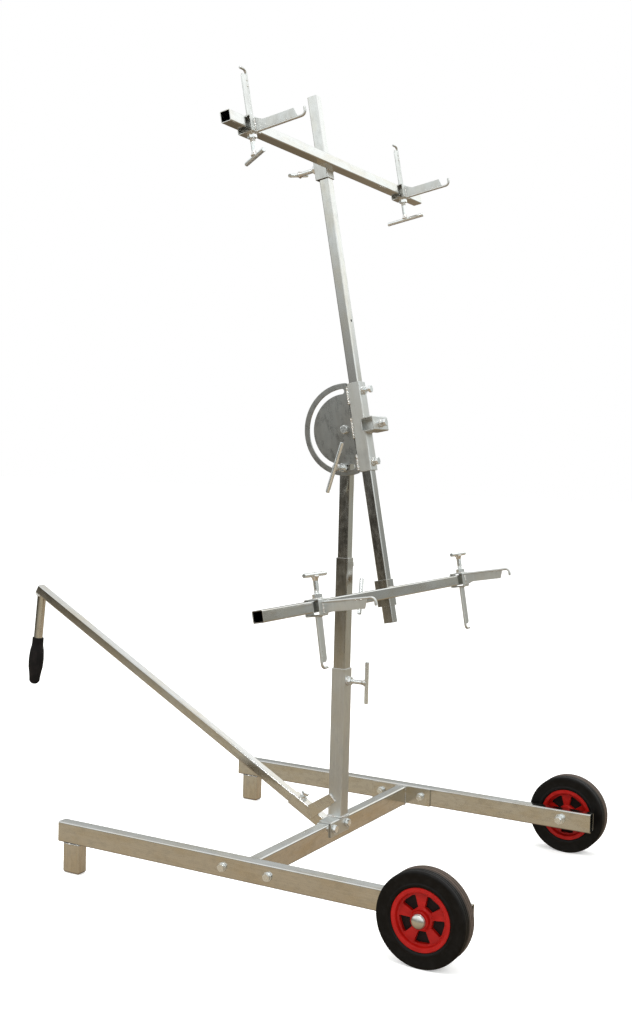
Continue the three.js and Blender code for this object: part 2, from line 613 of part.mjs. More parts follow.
// ---------------------------------------------------------------- board brackets
// A rod along +Z from `from` to `to`, then bent by a quarter turn towards +X for `hook` mm.
function bentRod(from, to, hook) {
  const bendStart = to - ARM.bend;
  const straight = rod(ARM.rodRadius, from, bendStart + SINK, THIN_ROUND);
  const tail = along('x', rod(ARM.rodRadius, ARM.bend - SINK, hook, THIN_ROUND)).translate(0, 0, to);
  const corner = new THREE.QuadraticBezierCurve3(
    new THREE.Vector3(0, 0, bendStart), new THREE.Vector3(0, 0, to), new THREE.Vector3(ARM.bend, 0, to),
  );
  const section = new THREE.Shape().absarc(0, 0, ARM.rodRadius, 0, 2 * Math.PI);
  const settings = { steps: 4, curveSegments: THIN_ROUND / 2, extrudePath: corner };
  const bend = new THREE.ExtrudeGeometry(section, settings);
  return shape([straight, bend, tail]);
}

// The bracket slides on a crossbar. Its screw is below, one arm points outwards (+X) and
// the other one up (+Z); each arm is a flat strip edged by a hooked rod.
function bracket(rodDrop) {
  const [half, face] = [BRACKET.length / 2, BRACKET.side / 2];
  const sleeve = along('y', tube(BRACKET.side, BRACKET.side, BRACKET.wall, -half, half));
  const nut = along('-z', screwNut(face)).translate(BRACKET.screwShift, 0, 0);
  const hole = along('-z', rod(WELD_NUT.bore, DRILL.from, DRILL.to)).translate(BRACKET.screwShift, 0, 0);
  const [strip, thin] = [ARM.width / 2, ARM.thickness / 2];

  const outBottom = -rodDrop + ARM.rodRadius - SINK;
  const outTop = outBottom + ARM.width;
  const [root, rootTop] = [face - SINK, face - 4];
  const outStrip = plateXZ(polygon([
    [root, outBottom], [face + OUT_ARM.reach, outBottom], [face + OUT_ARM.reach - 7, outTop],
    [face + ARM.rootTaper, outTop], [face + 1, rootTop], [root, rootTop],
  ]), -thin, thin);
  const outRod = along('x', bentRod(root, face + OUT_ARM.rodReach, OUT_ARM.hook).rotateZ(Math.PI));
  const upStrip = box(-thin, thin, -strip, strip, root, face + UP_ARM.reach);
  const upRod = bentRod(root, face + UP_ARM.rodReach, UP_ARM.hook).rotateZ(-Math.PI / 2);
  return shape([
    sleeve, nut, outStrip,
    outRod.translate(0, 0, -rodDrop),
    upStrip.translate(UP_ARM.shift, 0, 0),
    upRod.translate(UP_ARM.shift, strip + ARM.rodRadius - SINK, 0),
  ], [hole]);
}

// Places a bracket and its clamp screw on its crossbar.
function buildBracket(head, place, barX) {
  const holder = new THREE.Group();
  holder.position.set(barX, place.y - POST_Y, place.bar.at);
  const flipped = place.bar === LOWER;
  holder.rotation.x = flipped ? Math.PI : 0;
  holder.rotation.y = (flipped ? -1 : 1) * radians(place.droop);
  head.add(holder);
  const face = BRACKET.side / 2 + place.hang;
  const screwX = BRACKET.offset + BRACKET.screwShift;
  const slant = (screwX + TEE.radius) * Math.sin(radians(place.droop));
  const depth = face - BAR.side / 2 - GAP - slant;
  const [reach, handle, turn] = place.screw;
  const screw = teeScrew(depth, handle, reach).rotateZ(radians(turn));
  add(holder, `${place.name}_bracket`, bracket(place.rodDrop), 'zinc', BRACKET.offset, 0, -place.hang);
  add(holder, `${place.name}_bracket_screw`, along('-z', screw), 'fastener', screwX, 0, -face);
}

// ---------------------------------------------------------------- assembly
// Builds everything about the middle of the cross beam, then sets the origin to the
// middle of the footprint, on the floor.
function buildLift() {
  const lift = new THREE.Group();
  lift.name = 'drywall_lift';
  buildBase(lift);
  buildWheels(lift);
  buildPost(lift);
  buildDrawbar(lift);
  buildMast(buildTiltHead(lift));
  const extent = new THREE.Box3().setFromObject(lift, true);
  const centre = extent.getCenter(new THREE.Vector3());
  lift.position.set(-centre.x, -centre.y, -extent.min.z);
  lift.updateMatrixWorld(true);
  return lift;
}

export default buildLift();
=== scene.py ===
import json
from math import acos, cos, pi, radians, sin, tau

import bmesh
import bpy
from mathutils import Matrix, Vector, noise


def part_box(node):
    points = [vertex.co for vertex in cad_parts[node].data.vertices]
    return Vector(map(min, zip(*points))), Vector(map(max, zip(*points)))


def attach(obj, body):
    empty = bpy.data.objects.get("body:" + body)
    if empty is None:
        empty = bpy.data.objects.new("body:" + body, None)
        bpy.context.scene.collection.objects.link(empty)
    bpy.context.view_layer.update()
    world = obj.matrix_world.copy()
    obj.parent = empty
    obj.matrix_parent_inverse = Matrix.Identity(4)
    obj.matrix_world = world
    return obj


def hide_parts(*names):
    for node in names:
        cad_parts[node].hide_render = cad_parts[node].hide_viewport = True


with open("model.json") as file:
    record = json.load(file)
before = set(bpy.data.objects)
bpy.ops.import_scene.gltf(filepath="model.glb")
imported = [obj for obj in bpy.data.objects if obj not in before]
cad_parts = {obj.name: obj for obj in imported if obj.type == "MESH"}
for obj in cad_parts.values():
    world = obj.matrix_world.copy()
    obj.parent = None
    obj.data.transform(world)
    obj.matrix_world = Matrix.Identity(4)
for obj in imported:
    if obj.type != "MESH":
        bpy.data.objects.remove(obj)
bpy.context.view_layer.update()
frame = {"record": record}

# ---- driving sizes (mm)
MM = 0.001
GAP = 0.3  # air between parts that meet
BITE = 0.4  # how far a welded part reaches into its neighbour
EDGE = 0.4  # rounding of cut edges
PROUD = 2  # how far a bolt stands out of its nut
CORNER = 3  # corner radius of the square tubes
SIDES = (("near", -1), ("far", 1))
RAIL = {"width": 30, "height": 50, "wall": 2.5, "corner": 4, "from": -540, "to": 538,
        "outer": 419, "bottom": 72}
RAIL_MID = RAIL["outer"] - RAIL["width"] / 2
FLOOR = -2
FOOT = {"from": -524, "length": 50, "dome": ((0, 9), (0.6, 6.2), (1.9, 3.4), (3.8, 1.5), (7, 0))}
BEAM = {"bottom": 67, "plate": (176, 47), "thickness": 5, "plate_bottom": 72}
END_BOLT = {"x": 60, "z": 96}
WHEEL = {"x": 458, "z": FLOOR + 100, "radius": 100, "width": 50, "gap": 13, "rim": 66, "web": 14,
         "hub_overhang": 3, "windows": 5, "phase": 33}
TREAD = {"grooves": ((0, 1.1), (8, 1.1), (15, 0.7)), "floor": 0.7, "mouth": 1.3}
# Turned profiles, as (radius, depth) counted inward from an edge: the tyre's shoulder from the
# tread's edge, its side up from the seat, the rim's lip, and the rim's dish down to the web.
TYRE_SHOULDER = ((0, 4.6), (0.4, 2.8), (1.3, 1.2), (2.8, 0.3), (5, 0), (10, 0), (10.8, 0.5))
TYRE_SIDE = ((16, 0.9), (9.6, 1.4), (8.4, 0.7), (7, 0.1), (5.4, 0), (3.8, 0.4), (2.4, 1.4),
             (1.4, 1.8), (0.4, 2.6), (0, 5))
RIM_LIP = ((0, 7), (0, 3.4), (0.5, 2.5), (1.6, 2), (7.6, 2), (9, 2.3), (10, 3.4), (10.8, 5))
RIM_DISH = ((11.3, 2.6), (11.8, 1.2), (13, 0.3), (15, 0))
RIM_WINDOW = {"half": ((8.6, 24), (17.4, 45.5), (16, 47.9), (10, 49.5)), "floor": 4}
# The dark discs deep behind the rim's windows are painted shade.
RIM_SHADE_DISC = {"inner": 23.4, "outer": 50.6, "from": 3.6, "to": 5}
AXLE = {"radius": 8, "across": 21, "nut": 11, "washer": 13, "spacer": 13, "thread": 18, "pitch": 2}
HUB_CAP = {"radius": 15, "skirt": 4, "length": 11}
CAP_SKIRT = ((13.6, 0), (14.4, 0), (15, 0.7), (15, 2.2), (14.6, 2.6), (14.6, 3.2))
POST_Y = 16.5
OUTER = {"side": 38, "wall": 2, "bottom": 121.6, "top": 497, "screw": 466}
MIDDLE = {"side": 33, "wall": 2, "bottom": 275, "top": 775, "bolt": 757}
INNER = {"side": 28, "wall": 2, "bottom": 430, "top": 1108}
SADDLE = {"from": -53, "to": 43, "thickness": 4, "drop": 38, "bolt_z": 103.5,
          "bolt_y": (-39.5, 29)}
DRAWBAR = {"side": 25, "wall": 2, "slope": 28.8, "foot": (-38, POST_Y - 4.5, 99), "length": 1091,
           "clear": 4, "cap": ((0, 3), (0.4, 1.2), (1.4, 0.2), (3, 0), (4, 0))}
SOCKET = {"side": 30, "wall": 2, "length": 105, "bolt": 80}
GUSSET = {"thickness": 4, "corners": ((-75, 140), (-15, 178.5), (3, 161), (-65, 106)),
          "welds": (((-14, 178), (3, 161.5), 2.4, 1), ((-73, 139), (-66, 108), 1.9, 2)),
          "post_weld": ((-17, 152), (-17, 138), 2.0, 6)}
STEM = {"radius": 12.5, "lean": 5.4, "length": 240, "from_end": 12}
GRIP = {"top": 138, "length": 136, "widest": 21.3,
        "bands": ((0, 16), (22, 16.5), (36, 19.3), (51, 20.7), (66, 21.3), (86, 20.4),
                  (101, 17.9), (116, 15.8), (128, 14.5), (134, 10))}
TILT = {"z": 1095, "lean": 11.1, "plate": 115, "slot": 95, "slot_width": 13, "slot_half": 94.2,
        "thickness": 4, "turn": 17, "welds": ((104, 58), (26, -27), (-66, -108))}
PLATE_FRONT = INNER["side"] / 2 + GAP + TILT["thickness"]
MAST = {"side": 26, "wall": 2, "offset": 39.5, "bottom": -489, "top": 841, "hole": 266,
        "hole_radius": 3.5, "cap": ((3.2, 0.3), (0.8, 0.1), (0.2, 0.7), (0, 1.8))}
# The sleeve's set bolts: place along it and gap between nut and head.
SLEEVE = {"side": 35, "wall": 4, "half": 111, "bolts": ((88.7, 9), (-90, 0.5))}
BAR_SOCKET = {"side": 35, "wall": 3, "half": 40, "bolt_y": 2}
SLIDER = {"side": 36, "wall": 2, "length": 65, "back": 2.7}
BAR = {"side": 26, "wall": 2}
UPPER = {"at": 661, "from": -474, "to": 506, "reach": 55, "turn": 78}
LOWER = {"at": -415, "from": -625, "to": 435, "reach": 52, "turn": 25}
# Name, crossbar, place along it, hang, rod drop, screw reach, handle length, screw turn, droop.
BRACKETS = (
    ("upper_near", UPPER, -386, 3, 17, 52, 95, 33, 0),
    ("upper_far", UPPER, 387, 3, 17, 57, 108, 0, 0),
    ("lower_near", LOWER, -391, -2.7, 11, 53, 95, 90, 2),
    ("lower_far", LOWER, 400, 0, 15, 51, 90, 90, 1),
)
BRACKET = {"side": 38, "wall": 2.5, "length": 36, "offset": 2.7, "shift": 6}
ARM = {"width": 20, "thickness": 3, "rod": 3, "bend": 10, "taper": 20}
OUT_ARM = {"reach": 107, "rod": 127, "hook": 18, "slant": 7, "welds": (30, 17)}
UP_ARM = {"reach": 100, "rod": 112, "hook": 24, "slant": 6, "welds": (28, 15), "shift": 6}
TEE = {"radius": 6, "reach": 52, "bar": 5, "length": 105, "long": 130, "short": 95,
       "past_nut": 9, "flare": 20, "weld": {"half": 7, "aside": 4.4, "down": 2.6, "size": 1.5}}
# The weld between screw and handle, as (radius, distance below the handle's axis).
TEE_FLARE = ((5.6, 14), (6.2, 11.5), (7.2, 8), (8.8, 5), (9, 3.6), (8.2, 2.2), (4, 1.8))
WELD_NUT = {"across": 19, "nut": 10}
M10 = {"radius": 5, "across": 17, "head": 6.5, "nut": 8, "washer": 10.5, "pitch": 1.5,
       "threaded": 15}
M12 = {"radius": 6, "across": 19, "head": 7.5, "nut": 10, "washer": 12, "pitch": 1.75,
       "threaded": 16}
WASHER_TOP = 2.2
HEX = {"steps": 48, "crown": 0.94, "slope": 0.5}
BEAD = {"step": 0.7, "taper": 2.4, "pitch": 1.25, "level": 0.72, "ripple": 0.3, "rough": 0.25,
        "wander": 0.22}

# ---- places
ONE = Matrix.Identity(4)
beam_low, beam_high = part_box("cross_beam")
ORIGIN = Vector(((beam_low.x + beam_high.x) / 2, (beam_low.y + beam_high.y) / 2,
                 beam_low.z - BEAM["bottom"] * MM))


def turn(axis, degrees):
    return Matrix.Rotation(radians(degrees), 4, axis)


def shift(x=0.0, y=0.0, z=0.0):
    return Matrix.Translation((x, y, z))


def spot(x=0.0, y=0.0, z=0.0):
    """A place of the object's own, in the row frame: millimetres in, metres out."""
    return Matrix.Translation(ORIGIN + Vector((x, y, z)) * MM)


def metres(matrix):
    """The same placement with its shift turned from millimetres into metres."""
    made = matrix.copy()
    made.translation = matrix.translation * MM
    return made


ALONG = {"x": turn("Y", 90), "-x": turn("Y", -90), "y": turn("X", -90), "-y": turn("X", 90),
         "-z": turn("X", 180)}
OUTWARD = {-1: ALONG["-y"], 1: ALONG["y"]}
INWARD = {-1: ALONG["y"], 1: ALONG["-y"]}
HEAD = spot(0, POST_Y, TILT["z"]) @ turn("Y", -TILT["lean"])
ARM_PLACE = spot(*DRAWBAR["foot"]) @ turn("Y", DRAWBAR["slope"])
STEM_PLACE = shift(STEM["from_end"] - DRAWBAR["length"]) @ turn("Y", STEM["lean"] - DRAWBAR["slope"])


# ---- mesh code
def add(name, data):
    """A new object in the scene."""
    made = bpy.data.objects.new(name, data)
    bpy.context.scene.collection.objects.link(made)
    return made


class Shell:
    """Closed shells in one local frame, in millimetres, with a material number on each face."""

    def __init__(self):
        self.points, self.faces, self.paints = [], [], []

    def loft(self, rings, wrap=False, place=ONE, paint=0):
        """Joins rings of equally many points; the ends are capped, or joined if it wraps."""
        base, count = len(self.points), len(rings[0])
        for ring in rings:
            self.points.extend(place @ point for point in ring)
        for i in range(len(rings) if wrap else len(rings) - 1):
            a, b = base + i * count, base + ((i + 1) % len(rings)) * count
            for j in range(count):
                k = (j + 1) % count
                self.faces.append((a + j, a + k, b + k, b + j))
        if not wrap:
            last = base + (len(rings) - 1) * count
            self.faces += [tuple(range(at, at + count)) for at in (base, last)]
        self.paints.extend([paint] * (len(self.faces) - len(self.paints)))

    def turned(self, matrix):
        """The same shells seen from another local frame."""
        self.points = [matrix @ point for point in self.points]
        return self

    def take(self, mesh, place):
        """Adds a mesh's faces."""
        base = len(self.points)
        self.points.extend(place @ vertex.co for vertex in mesh.vertices)
        self.faces.extend(tuple(base + i for i in face.vertices) for face in mesh.polygons)
        self.paints.extend([0] * len(mesh.polygons))


def polar(radius, angle, z):
    return Vector((radius * cos(angle), radius * sin(angle), z))


def rounded_ring(width, depth, corner, z, inset=0.0):
    steps = 5
    x, y, r = width / 2 - inset, depth / 2 - inset, max(corner - inset, 0.3)
    ring = []
    for cx, cy, start in ((x - r, r - y, -90), (x - r, y - r, 0), (r - x, y - r, 90), (r - x, r - y, 180)):
        centre = Vector((cx, cy, 0))
        ring += [centre + polar(r, radians(start + 90 * i / steps), z) for i in range(steps + 1)]
    return ring


def circle(radius, z, sides):
    return [polar(max(radius, 0.02), tau * i / sides, z) for i in range(sides)]


def tube(shell, width, depth, wall, start, end, place=ONE, corner=CORNER):
    """A square or rectangular tube along +Z with softened rims."""
    inner = (width - 2 * wall, depth - 2 * wall, max(corner - wall, 0.8))
    outer = (width, depth, corner)
    steps = ((outer, start + EDGE, 0), (outer, end - EDGE, 0), (outer, end, EDGE), (inner, end, -EDGE),
             (inner, end - EDGE, 0), (inner, start + EDGE, 0), (inner, start, -EDGE), (outer, start, EDGE))
    shell.loft([rounded_ring(*size, z, inset) for size, z, inset in steps], True, place)


def square(shell, size, start, end, place=ONE):
    """A square tube whose side and wall stand in a row of sizes."""
    tube(shell, size["side"], size["side"], size["wall"], start, end, place)


def revolve(shell, profile, sides, wrap=False, place=ONE, paint=0):
    shell.loft([circle(radius, z, sides) for radius, z in profile], wrap, place, paint)


def rod(shell, radius, start, end, place=ONE, edge=0.8, sides=32):
    rim = edge * 0.3
    revolve(shell, [(radius - edge, start), (radius - rim, start + rim), (radius, start + edge),
                    (radius, end - edge), (radius - rim, end - rim), (radius - edge, end)],
            sides, place=place)


def thread(shell, size, start, end):
    """A screw thread: each ring's radius follows the helix."""
    radius, pitch, sides, turn_steps, depth = size["radius"], size["pitch"], 24, 6, 0.45
    steps = max(2, round((end - start) / pitch * turn_steps))
    rings = []
    for i in range(steps + 1):
        z = start + (end - start) * i / steps
        fade = min(1.0, (end - z) / pitch, (z - start) / pitch)
        ring = []
        for j in range(sides):
            wave = abs(((z / pitch - j / sides) % 1.0) * 2 - 1)
            r = radius - depth * pitch * (1 - fade * (1 - wave))
            ring.append(polar(r, tau * j / sides, z))
        rings.append(ring)
    shell.loft(rings)


def hexagon(shell, across, start, end, place=ONE, paint=0, both=False):
    """A hexagon along +Z with the rounded-off corners of a turned bolt head, at one or both ends."""
    steps, flat = HEX["steps"], across / 2
    crown = flat * HEX["crown"]
    radii = [flat / cos(radians((360 * i / steps + 30) % 60 - 30)) for i in range(steps)]

    def ring(z, sign):
        slope = sign * HEX["slope"]
        return [polar(r, tau * i / steps, z - slope * (r - crown)) for i, r in enumerate(radii)]
    low = [circle(crown, start, steps), ring(start, -1)] if both else [ring(start, 0)]
    shell.loft([*low, ring(end, 1), circle(crown, end, steps)], False, place, paint)


def washer(shell, size):
    bore, rim = size["radius"] + 0.4, size["washer"]
    revolve(shell, [(bore, GAP), (rim - EDGE, GAP), (rim, GAP + EDGE), (rim, WASHER_TOP - EDGE),
                    (rim - EDGE, WASHER_TOP), (bore, WASHER_TOP)], 40, True)


def sweep(shell, path, radii, sides, place, paint=0, wrap=False):
    """A round section carried along a path without twisting."""
    rings, up = [], None
    count = len(path)
    angles = [tau * j / sides for j in range(sides)]
    for i, (centre, radius) in enumerate(zip(path, radii)):
        before = path[i - 1] if (i or wrap) else path[0]
        after = path[(i + 1) % count] if (i < count - 1 or wrap) else path[-1]
        ahead = (after - before).normalized()
        if up is None:
            up = ahead.orthogonal().normalized()
        up = (up - ahead * up.dot(ahead)).normalized()
        side = ahead.cross(up)
        rings.append([centre + (up * cos(a) + side * sin(a)) * radius for a in angles])
    shell.loft(rings, wrap, place, paint)


def even(points, step, wrap=False):
    """The same polyline with a point every step or so."""
    made = []
    corners = list(points) + ([points[0]] if wrap else [])
    for a, b in zip(corners, corners[1:]):
        count = max(1, round((b - a).length / step))
        made.extend(a.lerp(b, i / count) for i in range(count))
    return made if wrap else made + [corners[-1]]


def bead(shell, points, radius, place=ONE, paint=1, wrap=False, seed=0.0):
    """A weld bead: overlapping ripples along a line, a little uneven, thinner at its ends."""
    step = BEAD["step"]
    path = even([Vector(p) for p in points], step, wrap)
    radii, moved = [], []
    for i, point in enumerate(path):
        rough = BEAD["rough"] * noise.noise(point * 0.35 + Vector((seed, 0, 0)))
        ripple = BEAD["ripple"] * abs(sin(pi * i * step / (radius * BEAD["pitch"])))
        ends = 1.0 if wrap else min(1.0, (min(i, len(path) - 1 - i) + 0.4) / BEAD["taper"])
        radii.append(radius * (BEAD["level"] + ripple + rough) * ends ** 0.5)
        wander = noise.noise_vector(point * 0.2 + Vector((0, seed, 7)))
        moved.append(point + wander * radius * BEAD["wander"])
    sweep(shell, moved, radii, 10, place, paint, wrap)


def ring_bead(shell, radius, z, size, place, seed):
    """A weld bead around the local Z axis."""
    bead(shell, circle(radius, z, 24), size, place, 1, True, seed)


def plate(shell, outline, low, high, place=ONE, holes=()):
    """A flat plate in X and Z between two Y values, with softened edges."""
    curve = bpy.data.curves.new("outline", "CURVE")
    curve.dimensions = "2D"
    curve.fill_mode = "BOTH"
    curve.bevel_depth = EDGE
    curve.bevel_resolution = 1
    curve.offset = -EDGE
    curve.extrude = (high - low) / 2 - EDGE
    for line in (outline, *holes):
        spline = curve.splines.new("POLY")
        spline.points.add(len(line) - 1)
        spline.points.foreach_set("co", [c for x, y in line for c in (x, y, 0.0, 1.0)])
        spline.use_cyclic_u = True
    drawn = add("outline", curve)
    graph = bpy.context.evaluated_depsgraph_get()
    mesh = bpy.data.meshes.new_from_object(drawn.evaluated_get(graph))
    shell.take(mesh, place @ shift(0, (low + high) / 2, 0) @ turn("X", 90))
    bpy.data.objects.remove(drawn)
    bpy.data.curves.remove(curve)
    bpy.data.meshes.remove(mesh)


def arc(cx, cy, radius, start, end, steps):
    angles = [start + (end - start) * i / steps for i in range(steps + 1)]
    return [(cx + radius * cos(a), cy + radius * sin(a)) for a in angles]


def to_mesh(name, shell):
    mesh = bpy.data.meshes.new(name)
    mesh.from_pydata([point * MM for point in shell.points], [], shell.faces)
    mesh.polygons.foreach_set("material_index", shell.paints)
    work = bmesh.new()
    work.from_mesh(mesh)
    bmesh.ops.remove_doubles(work, verts=work.verts, dist=1e-6)
    bmesh.ops.recalc_face_normals(work, faces=work.faces)
    work.to_mesh(mesh)
    work.free()
    return mesh


def carve(piece, cut):
    """Cuts the closed shells of cut away from a piece."""
    knife = add("knife", to_mesh("knife", cut))
    tool = piece.modifiers.new("cut", "BOOLEAN")
    tool.operation, tool.solver, tool.object = "DIFFERENCE", "EXACT", knife
    graph = bpy.context.evaluated_depsgraph_get()
    carved = bpy.data.meshes.new_from_object(piece.evaluated_get(graph))
    piece.modifiers.clear()
    piece.data = carved
    bpy.data.objects.remove(knife)


# ---- materials
class Graph:
    """A short way to write a node tree."""

    def __init__(self, tree):
        self.tree = tree

    def node(self, kind, operation=None, **values):
        made = self.tree.nodes.new("ShaderNode" + kind)
        if operation:
            made.operation = operation
        for key, value in values.items():
            made.inputs[key].default_value = value
        return made

    def link(self, source, target):
        self.tree.links.new(source, target)

    def span(self, source, low, high, to_low=0, to_high=1):
        """Maps low to to_low and high to to_high, clamped."""
        ends = {"From Min": low, "From Max": high, "To Min": to_low, "To Max": to_high}
        made = self.node("MapRange", **ends)
        self.link(source, made.inputs["Value"])
        return made.outputs["Result"]

    def times(self, first, second):
        made = self.node("Math", "MULTIPLY")
        self.link(first, made.inputs[0])
        self.link(second, made.inputs[1])
        return made.outputs["Value"]

    def mix(self, factor, first, second):
        """Blends two colours, each a tuple or an output."""
        made = self.node("Mix")
        made.data_type = "RGBA"
        self.link(factor, made.inputs["Factor"])
        for value, socket in ((first, made.inputs[6]), (second, made.inputs[7])):
            if isinstance(value, tuple):
                socket.default_value = (*value, 1)
            else:
                self.link(value, socket)
        return made.outputs[2]


class Paint(Graph):
    """A node material about its Principled shader."""

    def __init__(self, name, metallic=0.0, specular=0.5):
        self.material = bpy.data.materials.new(name)
        self.material.use_nodes = True
        super().__init__(self.material.node_tree)
        self.shader = self.tree.nodes["Principled BSDF"]
        self.shader.inputs["Metallic"].default_value = metallic
        self.shader.inputs["Specular IOR Level"].default_value = specular

    def coords(self, scale):
        """Object coordinates, scaled by one number or by three."""
        mapping = self.node("Mapping", Scale=scale if isinstance(scale, tuple) else (scale,) * 3)
        self.link(self.node("TexCoord").outputs["Object"], mapping.inputs["Vector"])
        return mapping.outputs["Vector"]

    def noise(self, scale, detail=4.0, roughness=0.55):
        made = self.node("TexNoise", Scale=1.0, Detail=detail, Roughness=roughness)
        self.link(self.coords(scale), made.inputs["Vector"])
        return made.outputs["Fac"]

    def coat(self, colour, cloud, roughness, relief, strength, distance):
        """Links the colour, a roughness that follows a cloud and a bump that follows a relief."""
        self.link(colour, self.shader.inputs["Base Color"])
        self.link(self.span(cloud, 0.3, 0.7, *roughness), self.shader.inputs["Roughness"])
        bump = self.node("Bump", Strength=strength, Distance=distance)
        self.link(relief, bump.inputs["Height"])
        self.link(bump.outputs["Normal"], self.shader.inputs["Normal"])
        return self.material


def scaled(colour, share):
    return tuple(share * channel for channel in colour)


def zinc_paint(name, clear, warm, roughness, warmth=0.75):
    """Zinc plating: cloudy, with drawing lines along local Z and a warm cast in places."""
    paint = Paint(name, metallic=1.0)
    cloud = paint.noise((26, 26, 9), 5.0, 0.6)
    patch = paint.noise((75, 75, 40), 4.0, 0.65)
    streak = paint.noise((700, 700, 9), 3.0, 0.5)
    grain = paint.noise(420, 2.0, 0.5)
    plain = paint.mix(paint.span(streak, 0.35, 0.65), scaled(clear, 0.93), clear)
    tinted = paint.mix(paint.span(grain, 0.35, 0.65), scaled(warm, 0.90), warm)
    mixed = paint.mix(paint.span(cloud, 0.44, 0.66, 0, warmth), plain, tinted)
    dulled = paint.mix(paint.span(patch, 0.48, 0.76, 0, 0.32), mixed, scaled(clear, 0.64))
    return paint.coat(dulled, patch, roughness, streak, 0.07, 0.00012)


def bright_paint():
    """Bright zinc on the fasteners, with faint turning marks."""
    paint = Paint("bright_fasteners", metallic=0.93)
    cloud, turned = paint.noise(160, 3.0), paint.noise((60, 60, 1600), 2.0)
    colour = paint.mix(cloud, (0.70, 0.74, 0.75), (0.86, 0.87, 0.85))
    return paint.coat(colour, cloud, (0.12, 0.26), turned, 0.08, 0.0001)


def weld_paint():
    """Plated weld beads: bright and lumpy, browner where they were hottest."""
    paint = Paint("weld_bead", metallic=1.0)
    lumps, heat = paint.noise(700, 4.0, 0.6), paint.noise(120, 2.0)
    colour = paint.mix(paint.span(heat, 0.52, 0.72, 0, 0.8), (0.80, 0.80, 0.78), (0.40, 0.32, 0.24))
    return paint.coat(colour, lumps, (0.16, 0.38), lumps, 0.35, 0.0003)


def tyre_paint():
    """Black rubber, browned with dust on the tread's half of local -Z."""
    paint = Paint("tyre", specular=0.2)
    place = paint.node("TexCoord").outputs["Object"]
    flat = paint.node("VectorMath", "MULTIPLY")
    flat.inputs[1].default_value = (1, 1, 0)
    reach = paint.node("VectorMath", "LENGTH")
    across = paint.node("SeparateXYZ")
    paint.link(place, flat.inputs[0])
    paint.link(flat.outputs["Vector"], reach.inputs[0])
    paint.link(place, across.inputs["Vector"])
    dust_and_shade_mottle = paint.noise((90, 90, 260), 5.0, 0.65)
    tread = paint.span(reach.outputs["Value"], 0.0985, 0.0994)
    sheltered = paint.times(tread, paint.span(across.outputs["Z"], -0.003, 0.007, 1, 0))
    dusty = paint.times(sheltered, paint.span(dust_and_shade_mottle, 0.25, 0.75, 0.35, 1.0))
    wall = paint.mix(paint.span(dust_and_shade_mottle, 0.45, 0.8), (0.0015, 0.0013, 0.001), (0.006, 0.005, 0.004))
    colour = paint.mix(dusty, wall, (0.095, 0.068, 0.052))
    return paint.coat(colour, dust_and_shade_mottle, (0.38, 0.6), paint.noise(1100, 3.0), 0.18, 0.0003)


def rim_paint():
    """Red moulded plastic, slightly cloudy, with a fine moulded grain."""
    paint = Paint("wheel_rim", specular=0.14)
    cloud = paint.noise(45)
    colour = paint.mix(paint.span(cloud, 0.3, 0.7), (0.22, 0.003, 0.0018), (0.30, 0.0055, 0.003))
    return paint.coat(colour, cloud, (0.30, 0.46), paint.noise(1300, 2.0), 0.12, 0.0002)


def pocket_shade_paint():
    """Painted shade: a near-black back wall for the rim's pockets, mottled at random."""
    paint = Paint("rim_pocket_painted_shade", specular=0.1)
    dust_and_shade_mottle = paint.noise(60)
    colour = paint.mix(dust_and_shade_mottle, (0.006, 0.004, 0.004), (0.020, 0.013, 0.011))
    return paint.coat(colour, dust_and_shade_mottle, (0.75, 0.95), dust_and_shade_mottle, 0.2, 0.0004)


def grip_paint():
    """Soft black grip with a leathery grain and greyer rubbed patches."""
    paint = Paint("grip", specular=0.16)
    rub = paint.noise(30)
    grain = paint.node("TexVoronoi", Scale=1.0)
    paint.link(paint.coords(750), grain.inputs["Vector"])
    colour = paint.mix(paint.span(rub, 0.5, 0.8), (0.004, 0.0035, 0.0035), (0.014, 0.010, 0.009))
    return paint.coat(colour, rub, (0.5, 0.72), grain.outputs["Distance"], 0.3, 0.0003)


TUBE_ZINC = zinc_paint("zinc_tube", (0.66, 0.665, 0.65), (0.62, 0.58, 0.49), (0.10, 0.22))
PART_ZINC = zinc_paint("zinc_welded_parts", (0.74, 0.76, 0.75), (0.66, 0.64, 0.58), (0.34, 0.48), 0.4)
# The tilt plate's zinc is painted darker than the tubes' zinc: painted shade for the darker reflections the
# plate shows.
SHADED_PLATE_ZINC = zinc_paint("zinc_plate_painted_shade", (0.45, 0.46, 0.45), (0.38, 0.365, 0.335), (0.22, 0.38), 0.6)
CAP_ZINC = zinc_paint("zinc_cap", (0.74, 0.75, 0.72), (0.62, 0.58, 0.50), (0.26, 0.36), 0.6)
BRIGHT, WELD = bright_paint(), weld_paint()
# A look is a slot name and a piece's materials, in the order of its shell's material numbers.
STEEL = ("zinc_steel", (TUBE_ZINC, WELD, BRIGHT))
PARTS = ("zinc_steel", (PART_ZINC, WELD, BRIGHT))
# Painted shade: the tilt plate's darker zinc.
PLATES = ("zinc_steel", (SHADED_PLATE_ZINC, WELD, BRIGHT))
FASTENER = ("bright_fasteners", (BRIGHT, WELD))
CAP = ("bright_fasteners", (CAP_ZINC,))
TYRE = ("tyre", (tyre_paint(),))
RIM = ("wheel_rim", (rim_paint(),))
# Painted shade behind the rim's windows.
POCKET_SHADE = ("wheel_rim", (pocket_shade_paint(),))
SOFT_GRIP = ("grip", (grip_paint(),))


# ---- pieces
BODY_OF = {node: body for body, nodes in frame["record"]["behaviour"]["bodies"].items() for node in nodes}
SHARP_FROM = 38  # degrees between two faces with a hard edge


def stand_for(node, shell, place, look, cut=None):
    """Makes the fine piece that shows instead of a CAD node."""
    piece = show(f"{node}_fine", shell, place, look, BODY_OF[node], cut)
    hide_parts(node)


def fasten(node, shell, place):
    stand_for(node, shell, place, FASTENER)


